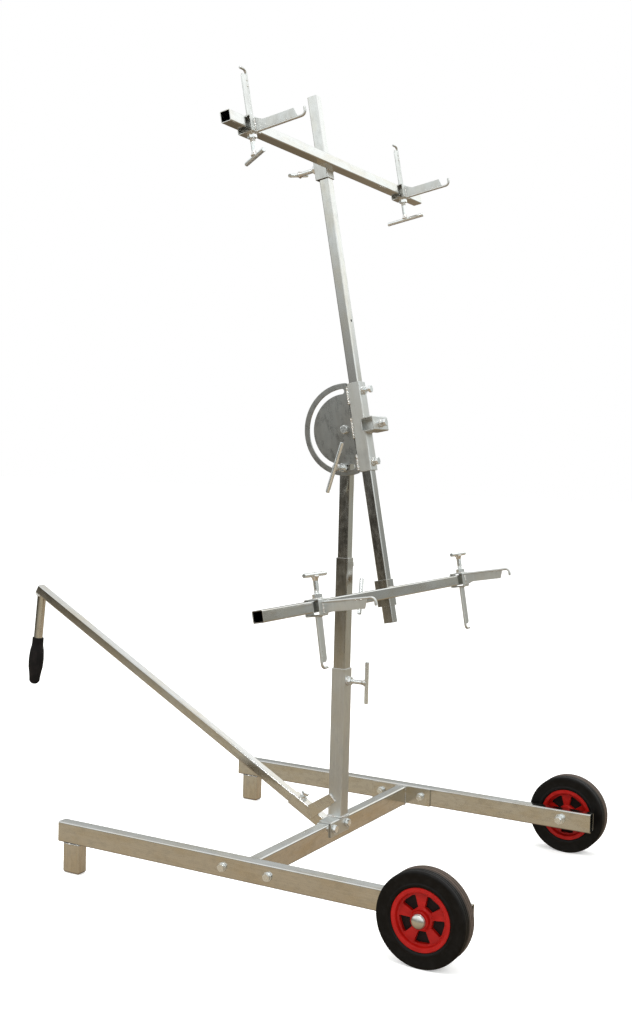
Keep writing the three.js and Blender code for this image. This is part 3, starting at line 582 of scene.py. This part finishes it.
def show(name, shell, place, look, body, cut=None):
    slot, paints = look
    piece = add(name, to_mesh(name, shell))
    if cut is not None:
        carve(piece, cut)
    piece.data.polygons.foreach_set("use_smooth", [True] * len(piece.data.polygons))
    piece.data.set_sharp_from_angle(angle=radians(SHARP_FROM))
    for paint in paints:
        piece.data.materials.append(paint)
    normals = piece.modifiers.new("normals", "WEIGHTED_NORMAL")
    normals.keep_sharp = True
    piece.matrix_world = place
    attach(piece, body)
    return piece


# ---- fasteners
def shank(shell, size, length, top):
    """A bolt's plain shank with a threaded end, from top down to -length."""
    rod(shell, size["radius"] - 0.2, size["threaded"] - length - 1, top)
    thread(shell, size, -length, size["threaded"] - length)


def hex_bolt(size, length):
    shell = Shell()
    washer(shell, size)
    hexagon(shell, size["across"], WASHER_TOP, WASHER_TOP + size["head"])
    shank(shell, size, length, WASHER_TOP + 1)
    return shell


def hex_nut(size):
    shell = Shell()
    washer(shell, size)
    hexagon(shell, size["across"], WASHER_TOP, WASHER_TOP + size["nut"], both=True)
    return shell


def bolt_and_nut(name, count, length, bolt, nut):
    fasten(f"{name}_bolt_{count}", hex_bolt(M10, length), bolt)
    fasten(f"{name}_nut_{count}", hex_nut(M10), nut)


def set_bolt(depth, gap=2.0):
    shell = Shell()
    head = M10["nut"] + gap
    hexagon(shell, M10["across"], head, head + M10["head"])
    thread(shell, M10, -depth, head + 0.5)
    return shell


def tee_screw(depth, length=TEE["length"], reach=TEE["reach"]):
    """A screw with a cross handle; a flared weld joins the two."""
    shell = Shell()
    plain, weld = min(WELD_NUT["nut"] + TEE["past_nut"], reach - TEE["flare"]), TEE["weld"]
    thread(shell, M12, -depth, plain)
    rod(shell, TEE["radius"] - 0.3, plain - 1, reach, edge=0.5)
    revolve(shell, [(radius, reach - down) for radius, down in TEE_FLARE], 32, paint=1)
    rod(shell, TEE["bar"], -length / 2, length / 2, shift(0, 0, reach) @ ALONG["x"], 1.4)
    for side in (-1, 1):
        ends = [(x, side * weld["aside"], reach - weld["down"]) for x in (-weld["half"], weld["half"])]
        bead(shell, ends, weld["size"], seed=side)
    return shell


def weld_nut(shell, face, place, size=WELD_NUT, seed=0.0):
    """A hex nut welded to a face, with its ring of weld."""
    hexagon(shell, size["across"], face - 0.2, face + size["nut"], place, 2)
    ring_bead(shell, size["across"] / 2 + 1.0, face + 0.5, 1.7, place, seed)


# ---- base
def build_rails():
    for name, side in SIDES:
        shell = Shell()
        middle = spot(0, side * RAIL_MID, RAIL["bottom"] + RAIL["height"] / 2)
        tube(shell, RAIL["height"], RAIL["width"], RAIL["wall"], RAIL["from"], RAIL["to"],
             corner=RAIL["corner"])
        stand_for(f"{name}_rail", shell, middle @ ALONG["x"], STEEL)


def build_feet():
    """Rail stock set upright under the rail's end, closed below by a domed cap."""
    top = RAIL["bottom"] - FLOOR - GAP
    for name, side in SIDES:
        shell = Shell()
        size = (FOOT["length"], RAIL["width"], RAIL["corner"])
        rings = [rounded_ring(*size, z, inset) for z, inset in FOOT["dome"]]
        shell.loft([*rings, rounded_ring(*size, top - EDGE), rounded_ring(*size, top, EDGE)])
        outline = rounded_ring(FOOT["length"] - 1, RAIL["width"] - 1, RAIL["corner"], top - 0.8)
        bead(shell, outline, 1.3, ONE, 0, True, side)
        bead(shell, [(x, -RAIL["width"] / 2, top - 1) for x in (-9, -1)], 2.4, seed=side + 4)
        place = spot(FOOT["from"] + FOOT["length"] / 2, side * RAIL_MID, FLOOR)
        stand_for(f"{name}_foot", shell, place, STEEL)


def build_beam():
    shell = Shell()
    inner = RAIL["outer"] - RAIL["width"] - GAP
    end = inner - BEAM["thickness"]
    middle = shift(0, 0, BEAM["bottom"] + RAIL["height"] / 2)
    tube(shell, RAIL["width"], RAIL["height"], RAIL["wall"], -end - 1, end + 1, middle @ ALONG["y"],
         RAIL["corner"])
    width, height = BEAM["plate"]
    x, low = width / 2, BEAM["plate_bottom"]
    corners = [(-x, low), (x, low), (x, low + height), (-x, low + height)]
    for side in (-1, 1):
        lowest, highest = sorted((side * inner, side * end))
        plate(shell, corners, lowest, highest)
        ring = rounded_ring(RAIL["width"] + 1, RAIL["height"] + 1, RAIL["corner"], 0)
        bead(shell, ring, 1.3, middle @ shift(0, side * (end - 0.6), 0) @ ALONG["y"], 0, True, side)
    stand_for("cross_beam", shell.turned(ALONG["y"].inverted()), spot() @ ALONG["y"], STEEL)


def build_saddle():
    """The angle under the post, folded over the beam's edge."""
    shell = Shell()
    low = BEAM["bottom"] + RAIL["height"] + GAP
    back = RAIL["width"] / 2
    thick, face = SADDLE["thickness"], back + GAP
    high, edge, bottom = low + thick, face + thick, low + thick - SADDLE["drop"]
    fold = arc(edge - thick, high - thick, thick, pi / 2, 0, 6)
    outline = [(-back, low), (-back, high), *fold, (edge, bottom), (face, bottom), (face, low)]
    plate(shell, outline, SADDLE["from"], SADDLE["to"])
    stand_for("post_saddle", shell, spot(), PARTS)
    length = face + thick + back + WASHER_TOP + M10["nut"] + PROUD
    for i, y in enumerate(SADDLE["bolt_y"]):
        bolt, nut = spot(edge, y, SADDLE["bolt_z"]), spot(-back, y, SADDLE["bolt_z"])
        bolt_and_nut("saddle", i + 1, length, bolt @ ALONG["x"], nut @ ALONG["-x"])


def build_end_bolts():
    face = RAIL["outer"] - RAIL["width"] - BEAM["thickness"] - GAP
    length = RAIL["width"] + BEAM["thickness"] + WASHER_TOP + M10["nut"] + PROUD
    count = 0
    for side in (-1, 1):
        for x in (-END_BOLT["x"], END_BOLT["x"]):
            count += 1
            bolt = spot(x, side * RAIL["outer"], END_BOLT["z"]) @ OUTWARD[side]
            nut = spot(x, side * face, END_BOLT["z"]) @ INWARD[side]
            bolt_and_nut("end_plate", count, length, bolt, nut)


# ---- wheels
def mirrored(points):
    return [*points, *[(radius, -height) for radius, height in reversed(points)]]


def inward(profile, radius, depth, sign=-1):
    """A profile's rows, counted from an edge at a radius and a depth."""
    return [(radius + sign * r, depth - d) for r, d in profile]


def tyre_shell():
    """A solid rubber tyre: ribbed tread, rounded shoulders and a raised ring beside the rim."""
    outer, half, seat = WHEEL["radius"], WHEEL["width"] / 2, WHEEL["rim"] + GAP
    line = []
    for groove, depth in TREAD["grooves"]:
        if groove:
            line += [(outer, groove - TREAD["mouth"]), (outer - depth, groove - TREAD["floor"])]
        line += [(outer - depth, groove + TREAD["floor"]), (outer, groove + TREAD["mouth"])]
    line += inward(TYRE_SHOULDER, outer, half) + inward(TYRE_SIDE, seat, half, 1)
    shell = Shell()
    revolve(shell, mirrored(line), 160, True)
    return shell


def rim_shells():
    """The rim as a turned body, and the windows to cut from it."""
    lip, half, web = WHEEL["rim"], WHEEL["width"] / 2, WHEEL["web"]
    hub, bore = half + WHEEL["hub_overhang"], AXLE["radius"] + 0.4
    dish = [(lip - r, web + d) for r, d in RIM_DISH]
    boss = [(25.5, web), (24, web + 0.5), (23, web + 2), (20.6, half - 7), (20, half - 3),
            (19.6, hub - 1), (18.6, hub), (bore + 0.8, hub), (bore, hub - 0.8)]
    body, windows = Shell(), Shell()
    revolve(body, mirrored(inward(RIM_LIP, lip, half) + dish + boss), 160, True)
    right, floor = RIM_WINDOW["half"], RIM_WINDOW["floor"]
    corners = [*right, *[(-x, y) for x, y in reversed(right)]]
    for i in range(WHEEL["windows"]):
        place = turn("Z", -WHEEL["phase"] - i * 360 / WHEEL["windows"])
        for low, high in ((-web - 4, -floor), (floor, web + 4)):
            windows.loft([[Vector((x, y, z)) for x, y in corners] for z in (low, high)], False, place)
    return body, windows


def shade_disc_shell():
    """Painted shade: two dark discs deep behind the windows, standing for the shade seen through them."""
    shell, inner, outer = Shell(), RIM_SHADE_DISC["inner"], RIM_SHADE_DISC["outer"]
    for low, high in ((-RIM_SHADE_DISC["to"], -RIM_SHADE_DISC["from"]), (RIM_SHADE_DISC["from"], RIM_SHADE_DISC["to"])):
        revolve(shell, [(inner, low), (outer, low), (outer, high), (inner, high)], 96, True)
    return shell


def axle_shell():
    hub = RAIL["width"] + WHEEL["gap"] - WHEEL["hub_overhang"]
    shell = Shell()
    rod(shell, AXLE["radius"], -2, hub + WHEEL["width"] + 2 * WHEEL["hub_overhang"] + 4)
    rod(shell, AXLE["spacer"], RAIL["width"] + GAP, hub - GAP)
    thread(shell, AXLE, -AXLE["thread"], -1)
    return shell


def cap_shell():
    radius, skirt, top = HUB_CAP["radius"], HUB_CAP["skirt"], HUB_CAP["length"]
    angles = [t * pi / 16 for t in range(8)]
    dome = [(radius * cos(a), skirt + (top - skirt) * sin(a)) for a in angles]
    shell = Shell()
    revolve(shell, [*CAP_SKIRT, *dome, (0.02, top)], 64)
    return shell


def build_wheels():
    for name, side in SIDES:
        wall = RAIL["outer"] + WHEEL["gap"]
        cap_y = wall + WHEEL["width"] + WHEEL["hub_overhang"] + GAP
        middle, inner, seat = (spot(WHEEL["x"], side * y, WHEEL["z"]) for y in
                               (wall + WHEEL["width"] / 2, RAIL["outer"] - RAIL["width"], cap_y))
        body, windows = rim_shells()
        wheel = middle @ ALONG["-y"]
        stand_for(f"{name}_tyre", tyre_shell(), wheel, TYRE)
        stand_for(f"{name}_rim", body, wheel, RIM, windows)
        # Painted shade: dark discs behind the rim's windows.
        show(f"{name}_rim_painted_shade_disc", shade_disc_shell(), wheel, POCKET_SHADE, f"{name}_wheel")
        fasten(f"{name}_axle", axle_shell(), inner @ OUTWARD[side])
        fasten(f"{name}_axle_nut", hex_nut(AXLE), inner @ INWARD[side])
        stand_for(f"{name}_hub_cap", cap_shell(), seat @ OUTWARD[side], CAP)


# ---- post
def build_post():
    outer, face = Shell(), OUTER["side"] / 2
    square(outer, OUTER, OUTER["bottom"], OUTER["top"])
    weld_nut(outer, face, shift(0, 0, OUTER["screw"]) @ ALONG["x"], seed=3)
    foot, edge = OUTER["bottom"] + 1.4, face + 1.4
    bead(outer, rounded_ring(OUTER["side"] + 2, OUTER["side"] + 2, 4, foot + 0.2), 2.0, ONE, 0, True, 9)
    bead(outer, [(x, -edge, foot) for x in (-17, 6)], 2.8, seed=2)
    bead(outer, [(edge, y, foot) for y in (-16, -4)], 2.5, seed=5)
    stand_for("post_outer_tube", outer, spot(0, POST_Y), PARTS)
    screw = tee_screw(face - MIDDLE["side"] / 2 - GAP)
    fasten("post_clamp_screw", screw, spot(face, POST_Y, OUTER["screw"]) @ ALONG["x"])

    middle, face = Shell(), MIDDLE["side"] / 2
    square(middle, MIDDLE, MIDDLE["bottom"], MIDDLE["top"])
    weld_nut(middle, face, shift(0, 0, MIDDLE["bolt"]) @ ALONG["y"], M10, 5)
    stand_for("post_middle_tube", middle, spot(0, POST_Y), STEEL)
    place = spot(0, POST_Y + face, MIDDLE["bolt"]) @ ALONG["y"]
    bolt = set_bolt(face - INNER["side"] / 2 - GAP)
    fasten("post_middle_bolt", bolt, place)

    inner = Shell()
    square(inner, INNER, INNER["bottom"], INNER["top"])
    screw_z = TILT["z"] - TILT["slot"]
    weld_nut(inner, INNER["side"] / 2, shift(0, 0, screw_z) @ ALONG["y"], seed=8)
    stand_for("post_inner_tube", inner, spot(0, POST_Y), STEEL)


# ---- drawbar
def build_drawbar():
    socket, face = Shell(), SOCKET["side"] / 2
    square(socket, SOCKET, -SOCKET["length"], 0, ALONG["x"])
    weld_nut(socket, face, shift(-SOCKET["bolt"]), M10, 2)
    back = POST_Y - OUTER["side"] / 2 - GAP
    upright = turn("Y", -DRAWBAR["slope"]) @ shift(*(-Vector(DRAWBAR["foot"])))
    plate(socket, GUSSET["corners"], back - GUSSET["thickness"], back, upright)
    middle = back - GUSSET["thickness"] / 2
    first, last = GUSSET["welds"]
    for y, (*ends, size, seed) in ((middle, first), (back, GUSSET["post_weld"]), (middle, last)):
        bead(socket, [(x, y, z) for x, z in ends], size, upright, seed=seed)
    lay = ALONG["x"]
    stand_for("drawbar_socket", socket.turned(lay.inverted()), ARM_PLACE @ lay, STEEL)
    bolt = set_bolt(face - DRAWBAR["side"] / 2 - GAP, 5)
    fasten("drawbar_clamp_bolt", bolt, ARM_PLACE @ metres(shift(-SOCKET["bolt"], 0, face)))

    bar, side = Shell(), DRAWBAR["side"]
    square(bar, DRAWBAR, 1 - DRAWBAR["length"], -DRAWBAR["clear"], ALONG["x"])
    size = (side - 0.6, side - 0.6, CORNER)
    closed = [rounded_ring(*size, z, inset) for z, inset in DRAWBAR["cap"]]
    bar.loft(closed, False, shift(-DRAWBAR["length"]) @ ALONG["x"])
    stand_for("drawbar", bar.turned(lay.inverted()), ARM_PLACE @ lay, STEEL)
    stem = Shell()
    rod(stem, STEM["radius"], -STEM["length"], -side / 2 + 3, sides=48)
    joint = turn("Y", DRAWBAR["slope"] - STEM["lean"])
    ring_bead(stem, STEM["radius"] + 0.8, -side / 2 - 1.2, 2.3, joint, 4)
    show("drawbar_stem", stem, ARM_PLACE @ metres(STEM_PLACE), STEEL, BODY_OF["drawbar"])
    stand_for("handle_grip", grip_shell(), ARM_PLACE @ metres(STEM_PLACE), SOFT_GRIP)


def grip_shell():
    """The grip's outline, smoothed through its bands, with a lip where it meets the stem."""
    bands = GRIP["bands"]
    bore = STEM["radius"] + 0.4
    line = [(bore, 3.0), (bore, 0.6), (bore + 0.8, 0.0), (15.4, 0.0), (16, 0.7)]
    for i in range(len(bands) - 1):
        before, a = bands[max(i - 1, 0)], bands[i]
        b, after = bands[i + 1], bands[min(i + 2, len(bands) - 1)]
        for step in range(1, 7):
            t = step / 6
            radius = catmull(before[1], a[1], b[1], after[1], t)
            line.append((min(radius, GRIP["widest"]), max(a[0] + (b[0] - a[0]) * t, 1.4)))
    line += [(7, GRIP["length"] - 0.4), (3, GRIP["length"])]
    shell = Shell()
    revolve(shell, [(radius, -GRIP["top"] - down) for radius, down in line], 64)
    return shell


def catmull(a, b, c, d, t):
    cubic = 3 * b - a - 3 * c + d
    return 0.5 * (2 * b + (c - a) * t + (2 * a - 5 * b + 4 * c - d) * t * t + cubic * t ** 3)


# ---- tilt head
def build_tilt_plate():
    chord = MAST["offset"] - SLEEVE["side"] / 2 - GAP
    edge = acos(chord / TILT["plate"])
    outline = arc(0, 0, TILT["plate"], edge, tau - edge, 120)
    radius, half, swing = TILT["slot"], TILT["slot_width"] / 2, radians(TILT["slot_half"])
    start, end = pi - swing, pi + swing
    nose, tail = (polar(radius, angle, 0)[:2] for angle in (start, end))
    slot = [*arc(0, 0, radius + half, start, end, 110), *arc(*tail, half, end, end + pi, 12)[1:-1],
            *arc(0, 0, radius - half, end, start, 110),
            *arc(*nose, half, start + pi, start + tau, 12)[1:-1]]
    shell = Shell()
    plate(shell, outline, -PLATE_FRONT, TILT["thickness"] - PLATE_FRONT, holes=(slot,))
    for ends in TILT["welds"]:
        bead(shell, [(chord, 0.2 - PLATE_FRONT, z) for z in ends], 3.0, seed=ends[0])
        bead(shell, [(chord, 4 - PLATE_FRONT, z) for z in ends], 1.8, seed=ends[0] + 3)
    stand_for("tilt_plate", shell, HEAD, PLATES)


def build_mast_sleeve():
    face = MAST["offset"] + SLEEVE["side"] / 2
    side = BAR_SOCKET["side"]
    shell = Shell()
    square(shell, SLEEVE, -SLEEVE["half"], SLEEVE["half"], shift(MAST["offset"]))
    square(shell, BAR_SOCKET, -BAR_SOCKET["half"], BAR_SOCKET["half"],
           shift(face + side / 2 - BITE) @ ALONG["y"])
    for z, _gap in SLEEVE["bolts"]:
        weld_nut(shell, face, shift(0, 0, z) @ ALONG["x"], M10, z)
    socket_face = face + side - BITE
    weld_nut(shell, socket_face, shift(0, BAR_SOCKET["bolt_y"], 0) @ ALONG["x"], M10, 1)
    for sign in (-1, 1):
        bead(shell, [(face + 0.6, y, sign * 17.2) for y in (-16, 16)], 1.9, seed=sign)
    stand_for("mast_sleeve", shell, HEAD, PARTS)
    depth = SLEEVE["side"] / 2 - MAST["side"] / 2 - GAP
    for i, (z, gap) in enumerate(SLEEVE["bolts"]):
        place = HEAD @ metres(shift(face, 0, z)) @ ALONG["x"]
        fasten(f"mast_set_bolt_{i + 1}", set_bolt(depth, gap), place)
    place = HEAD @ metres(shift(socket_face, BAR_SOCKET["bolt_y"], 0)) @ ALONG["x"]
    bolt = set_bolt(BAR_SOCKET["wall"] - 0.5, 0.5)
    fasten("bar_socket_bolt", bolt, place)


def build_tilt_fasteners():
    pivot = Shell()
    length = PLATE_FRONT + INNER["side"] / 2 + WASHER_TOP + M12["nut"] + PROUD
    hexagon(pivot, M12["across"], GAP, M12["head"])
    shank(pivot, M12, length, 1)
    fasten("tilt_pivot_bolt", pivot, spot(0, POST_Y - PLATE_FRONT, TILT["z"]) @ ALONG["-y"])
    fasten("tilt_pivot_nut", hex_nut(M12), spot(0, POST_Y + INNER["side"] / 2, TILT["z"]) @ ALONG["y"])
    front = PLATE_FRONT - INNER["side"] / 2
    screw = tee_screw(INNER["side"] + WELD_NUT["nut"], TEE["long"], front + TEE["reach"] - 5)
    hexagon(screw, WELD_NUT["across"], front + GAP, front + WELD_NUT["nut"], both=True)
    place = spot(0, POST_Y - INNER["side"] / 2, TILT["z"] - TILT["slot"]) @ ALONG["-y"]
    fasten("tilt_clamp_screw", screw, place @ turn("Z", 90 - TILT["turn"]))


# ---- mast, crossbars and brackets
def build_mast():
    shell, hole = Shell(), Shell()
    side, top = MAST["side"], MAST["top"]
    square(shell, MAST, MAST["bottom"], top - 0.6)
    shell.loft([rounded_ring(side, side, CORNER, top - down, inset) for down, inset in MAST["cap"]])
    rod(hole, MAST["hole_radius"], 8, 20, shift(0, 0, MAST["hole"]) @ ALONG["x"])
    stand_for("mast", shell, HEAD @ metres(shift(MAST["offset"])), STEEL, hole)


def build_carriages():
    slide = MAST["offset"] - SLIDER["back"]
    face = slide - SLIDER["side"] / 2
    depth = MAST["offset"] - MAST["side"] / 2 - GAP - face
    bar_x = slide + SLIDER["side"] / 2 + GAP + BAR["side"] / 2
    for name, bar in (("upper", UPPER), ("lower", LOWER)):
        sleeve = Shell()
        square(sleeve, SLIDER, -SLIDER["length"] / 2, SLIDER["length"] / 2)
        weld_nut(sleeve, SLIDER["side"] / 2, ALONG["-x"], seed=bar["at"])
        place = HEAD @ metres(shift(slide, 0, bar["at"]))
        stand_for(f"{name}_slider", sleeve, place, STEEL if name == "lower" else PARTS)
        screw = tee_screw(depth, TEE["short"], bar["reach"])
        place = HEAD @ metres(shift(face, 0, bar["at"])) @ ALONG["-x"] @ turn("Z", bar["turn"])
        fasten(f"{name}_slider_screw", screw, place)
        beam = Shell()
        square(beam, BAR, bar["from"] - POST_Y, bar["to"] - POST_Y)
        y = BITE - BAR["side"] / 2
        for sign in (-1, 1):
            bead(beam, [(sign * 12.6, y, z) for z in (-17, 17)], 1.7, turn("Z", -90), seed=sign)
        stand_for(f"{name}_crossbar", beam, HEAD @ metres(shift(bar_x, 0, bar["at"])) @ ALONG["y"], STEEL)
    for bracket in BRACKETS:
        build_bracket(bar_x, *bracket)


def hooked_rod(shell, start, end, hook, place):
    """A rod along +Z whose end is bent by a quarter turn towards +X."""
    bend, radius = ARM["bend"], ARM["rod"]
    path = [Vector((0, 0, z)) for z in (start, end - bend - 2)]
    angles = [t * pi / 16 for t in range(9)]
    path += [Vector((bend * (1 - cos(a)), 0, end - bend + bend * sin(a))) for a in angles]
    tip = hook - 1.4
    path += [Vector((x, 0, end)) for x in (tip, tip + 0.8, tip + 1.2, tip + 1.4)]
    radii = [radius] * (len(path) - 3) + [radius * 0.93, radius * 0.75, radius * 0.4]
    sweep(shell, path, radii, 20, place)


def bracket_shell(rod_drop):
    """A bracket's sleeve, its welded nut and its two arms, each a strip edged by a hooked rod."""
    half, face = BRACKET["length"] / 2, BRACKET["side"] / 2
    strip, thin = ARM["width"] / 2, ARM["thickness"] / 2
    shell = Shell()
    square(shell, BRACKET, -half, half, ALONG["y"])
    weld_nut(shell, face, shift(BRACKET["shift"]) @ ALONG["-z"], seed=rod_drop)

    bottom, start = -rod_drop + ARM["rod"] - BITE, face - BITE
    top, tip, side_y = bottom + ARM["width"], face + OUT_ARM["reach"], thin + 0.3
    plate(shell, [(start, bottom), (tip, bottom), (tip - OUT_ARM["slant"], top), (face + ARM["taper"], top),
                  (face + 1, face - 4), (start, face - 4)], -thin, thin)
    hooked_rod(shell, start, face + OUT_ARM["rod"], OUT_ARM["hook"],
               shift(0, 0, -rod_drop) @ ALONG["x"] @ turn("Z", 180))
    for side in (-1, 1):
        y = side * (thin + 0.6)
        bead(shell, [(face + 0.3, y, z) for z in (bottom, face - 5)], 1.8, seed=side)
        for x in [tip - back for back in OUT_ARM["welds"]]:
            bead(shell, [(x + dx, side * side_y, bottom) for dx in (0, 5)], 1.5, seed=x + side)

    lean, high = UP_ARM["shift"], face + UP_ARM["reach"]
    outline = [(-strip, start), (strip, start), (strip, high), (5 - strip, high),
               (-strip, high - UP_ARM["slant"])]
    plate(shell, outline, -thin, thin, shift(lean) @ turn("Z", 90))
    hooked_rod(shell, start, face + UP_ARM["rod"], UP_ARM["hook"],
               shift(lean, strip + ARM["rod"] - BITE, 0) @ turn("Z", -90))
    for side in (-1, 1):
        x = lean + side * (thin + 0.6)
        bead(shell, [(x, y, face + 0.3) for y in (1 - strip, strip - 1)], 1.8, seed=side + 5)
        for z in [high - down for down in UP_ARM["welds"]]:
            bead(shell, [(lean + side * side_y, strip, z + dz) for dz in (0, 5)], 1.5, seed=z + side)
    return shell


def build_bracket(bar_x, name, bar, y, hang, rod_drop, reach, handle, screw_turn, droop):
    flipped = bar is LOWER
    place = HEAD @ metres(shift(bar_x, y - POST_Y, bar["at"]))
    place = place @ turn("X", 180 if flipped else 0) @ turn("Y", -droop if flipped else droop)
    face = BRACKET["side"] / 2 + hang
    screw_x = BRACKET["offset"] + BRACKET["shift"]
    slant = (screw_x + TEE["radius"]) * sin(radians(droop))
    depth = face - BAR["side"] / 2 - GAP - slant
    sleeve = place @ metres(shift(BRACKET["offset"], 0, -hang))
    stand_for(f"{name}_bracket", bracket_shell(rod_drop), sleeve, PARTS)
    screw = place @ metres(shift(screw_x, 0, -face)) @ ALONG["-z"] @ turn("Z", screw_turn)
    fasten(f"{name}_bracket_screw", tee_screw(depth, handle, reach), screw)


# ---- camera, floor and light
CAMERA = {"place": (1.73360, -2.73894, 1.03211), "yaw": -29.40, "pitch": -2.56, "roll": 1.48,
          "sensor": 36, "lens": 44.83}
FLOOR_REACH = 30
BRIGHTEST = 1.6  # the skies hold shares of this strength
# Elevation in degrees and the light that the metal mirrors from there.
FRONT_SKY = ((-90, (0.30, 0.22, 0.15)), (-40, (0.46, 0.36, 0.25)), (-18, (0.54, 0.43, 0.29)),
             (-13, (0.56, 0.49, 0.36)), (-9.5, (0.42, 0.37, 0.29)), (-7, (0.10, 0.085, 0.06)),
             (-5, (0.02, 0.018, 0.014)), (-2, (0.035, 0.032, 0.026)), (0.5, (0.11, 0.105, 0.09)),
             (3, (0.29, 0.28, 0.26)), (5, (0.43, 0.43, 0.41)), (7.5, (0.58, 0.59, 0.57)),
             (10, (0.86, 0.90, 0.89)), (13, (1.22, 1.27, 1.26)), (40, (1.1, 1.1, 1.1)), (90, (1.0, 1.0, 1.0)))
BACK_SKY = ((-90, (0.20, 0.14, 0.10)), (-38, (0.22, 0.17, 0.12)), (-27, (0.27, 0.22, 0.155)),
            (-21, (0.42, 0.33, 0.22)), (-16, (0.54, 0.41, 0.27)), (-11, (0.42, 0.36, 0.26)),
            (-5, (0.41, 0.40, 0.34)), (0, (0.40, 0.40, 0.36)), (6, (0.32, 0.325, 0.31)),
            (9, (0.45, 0.455, 0.43)), (12.5, (0.62, 0.64, 0.62)), (15, (0.98, 1.0, 0.98)),
            (18, (1.42, 1.46, 1.43)), (28, (1.5, 1.52, 1.52)), (45, (1.1, 1.1, 1.1)), (90, (1.0, 1.0, 1.0)))
# Each lamp's name, place, width and power, and whether the metal mirrors it.
LAMPS = (
    ("key", (-2.4, -3.0, 3.6), 2.6, 90, False),
    ("fill", (3.6, -1.4, 2.6), 2.4, 45, False),
    ("top", (0.2, 0.6, 4.4), 3.0, 70, False),
    ("glint", (0.9, -2.6, 4.6), 0.8, 30, True),
)
LAMP_TARGET = Vector((0.2, 0, 0.9))


def build_camera():
    data = bpy.data.cameras.new("camera")
    data.sensor_width, data.lens = CAMERA["sensor"], CAMERA["lens"]
    data.clip_end = 100
    camera = add("camera", data)
    level = turn("Z", -CAMERA["yaw"]) @ turn("X", 90 + CAMERA["pitch"]) @ turn("Z", CAMERA["roll"])
    camera.matrix_world = Matrix.Translation(CAMERA["place"]) @ level
    bpy.context.scene.camera = camera


def build_floor():
    """A pale floor; the metal mirrors the studio instead of it."""
    mesh = bpy.data.meshes.new("floor")
    corners = [(x * FLOOR_REACH, y * FLOOR_REACH, 0) for x, y in ((-1, -1), (1, -1), (1, 1), (-1, 1))]
    mesh.from_pydata(corners, [], [(0, 1, 2, 3)])
    floor = add("floor", mesh)
    paint = Paint("floor")
    paint.shader.inputs["Roughness"].default_value = 0.9
    paint.link(paint.mix(paint.noise(3), (0.86, 0.86, 0.85), (0.88, 0.88, 0.87)),
               paint.shader.inputs["Base Color"])
    paint.shader.inputs["Emission Color"].default_value = (1, 1, 1, 1)
    paint.shader.inputs["Emission Strength"].default_value = 0.32
    mesh.materials.append(paint.material)
    floor.visible_glossy = False


def build_world():
    """White to the camera; the metal mirrors one sky from the front and a dimmer one from behind."""
    world = bpy.data.worlds.new("studio")
    bpy.context.scene.world = world
    world.use_nodes = True
    world.node_tree.nodes.clear()
    sky = Graph(world.node_tree)
    split = sky.node("SeparateXYZ")
    sky.link(sky.node("TexCoord").outputs["Generated"], split.inputs["Vector"])
    height = sky.span(split.outputs["Z"], -1, 1)
    skies = []
    for stops in (FRONT_SKY, BACK_SKY):
        ramp = sky.node("ValToRGB")
        while len(ramp.color_ramp.elements) < len(stops):
            ramp.color_ramp.elements.new(0.5)
        for element, (elevation, colour) in zip(ramp.color_ramp.elements, stops):
            element.position = (sin(radians(elevation)) + 1) / 2
            element.color = (*scaled(colour, 1 / BRIGHTEST), 1)
        sky.link(height, ramp.inputs["Fac"])
        skies.append(ramp.outputs["Color"])
    back = sky.node("VectorMath", "SCALE")
    sky.link(skies[1], back.inputs[0])
    sky.link(sky.span(split.outputs["X"], -0.42, -0.12, 0.5), back.inputs["Scale"])
    mirrored_sky = sky.mix(sky.span(split.outputs["Y"], -0.35, 0.45), skies[0], back.outputs["Vector"])
    seen = sky.node("LightPath").outputs["Is Camera Ray"]
    light = sky.node("Background", Strength=BRIGHTEST)
    sky.link(sky.mix(seen, mirrored_sky, (1 / BRIGHTEST,) * 3), light.inputs["Color"])
    sky.link(light.outputs["Background"], sky.node("OutputWorld").inputs["Surface"])


def build_lights():
    for name, place, width, power, glossy in LAMPS:
        data = bpy.data.lights.new(name, "AREA")
        data.shape, data.size, data.energy = "DISK", width, power
        lamp = add(name, data)
        lamp.visible_glossy = glossy
        aim = LAMP_TARGET - Vector(place)
        lamp.matrix_world = Matrix.Translation(place) @ aim.to_track_quat("-Z", "Y").to_matrix().to_4x4()


# ---- all of it
build_camera()
build_floor()
build_world()
build_lights()
bpy.context.scene.view_settings.view_transform = "Standard"
build_rails()
build_feet()
build_beam()
build_saddle()
build_end_bolts()
build_wheels()
build_post()
build_drawbar()
build_tilt_plate()
build_mast_sleeve()
build_tilt_fasteners()
build_mast()
build_carriages()
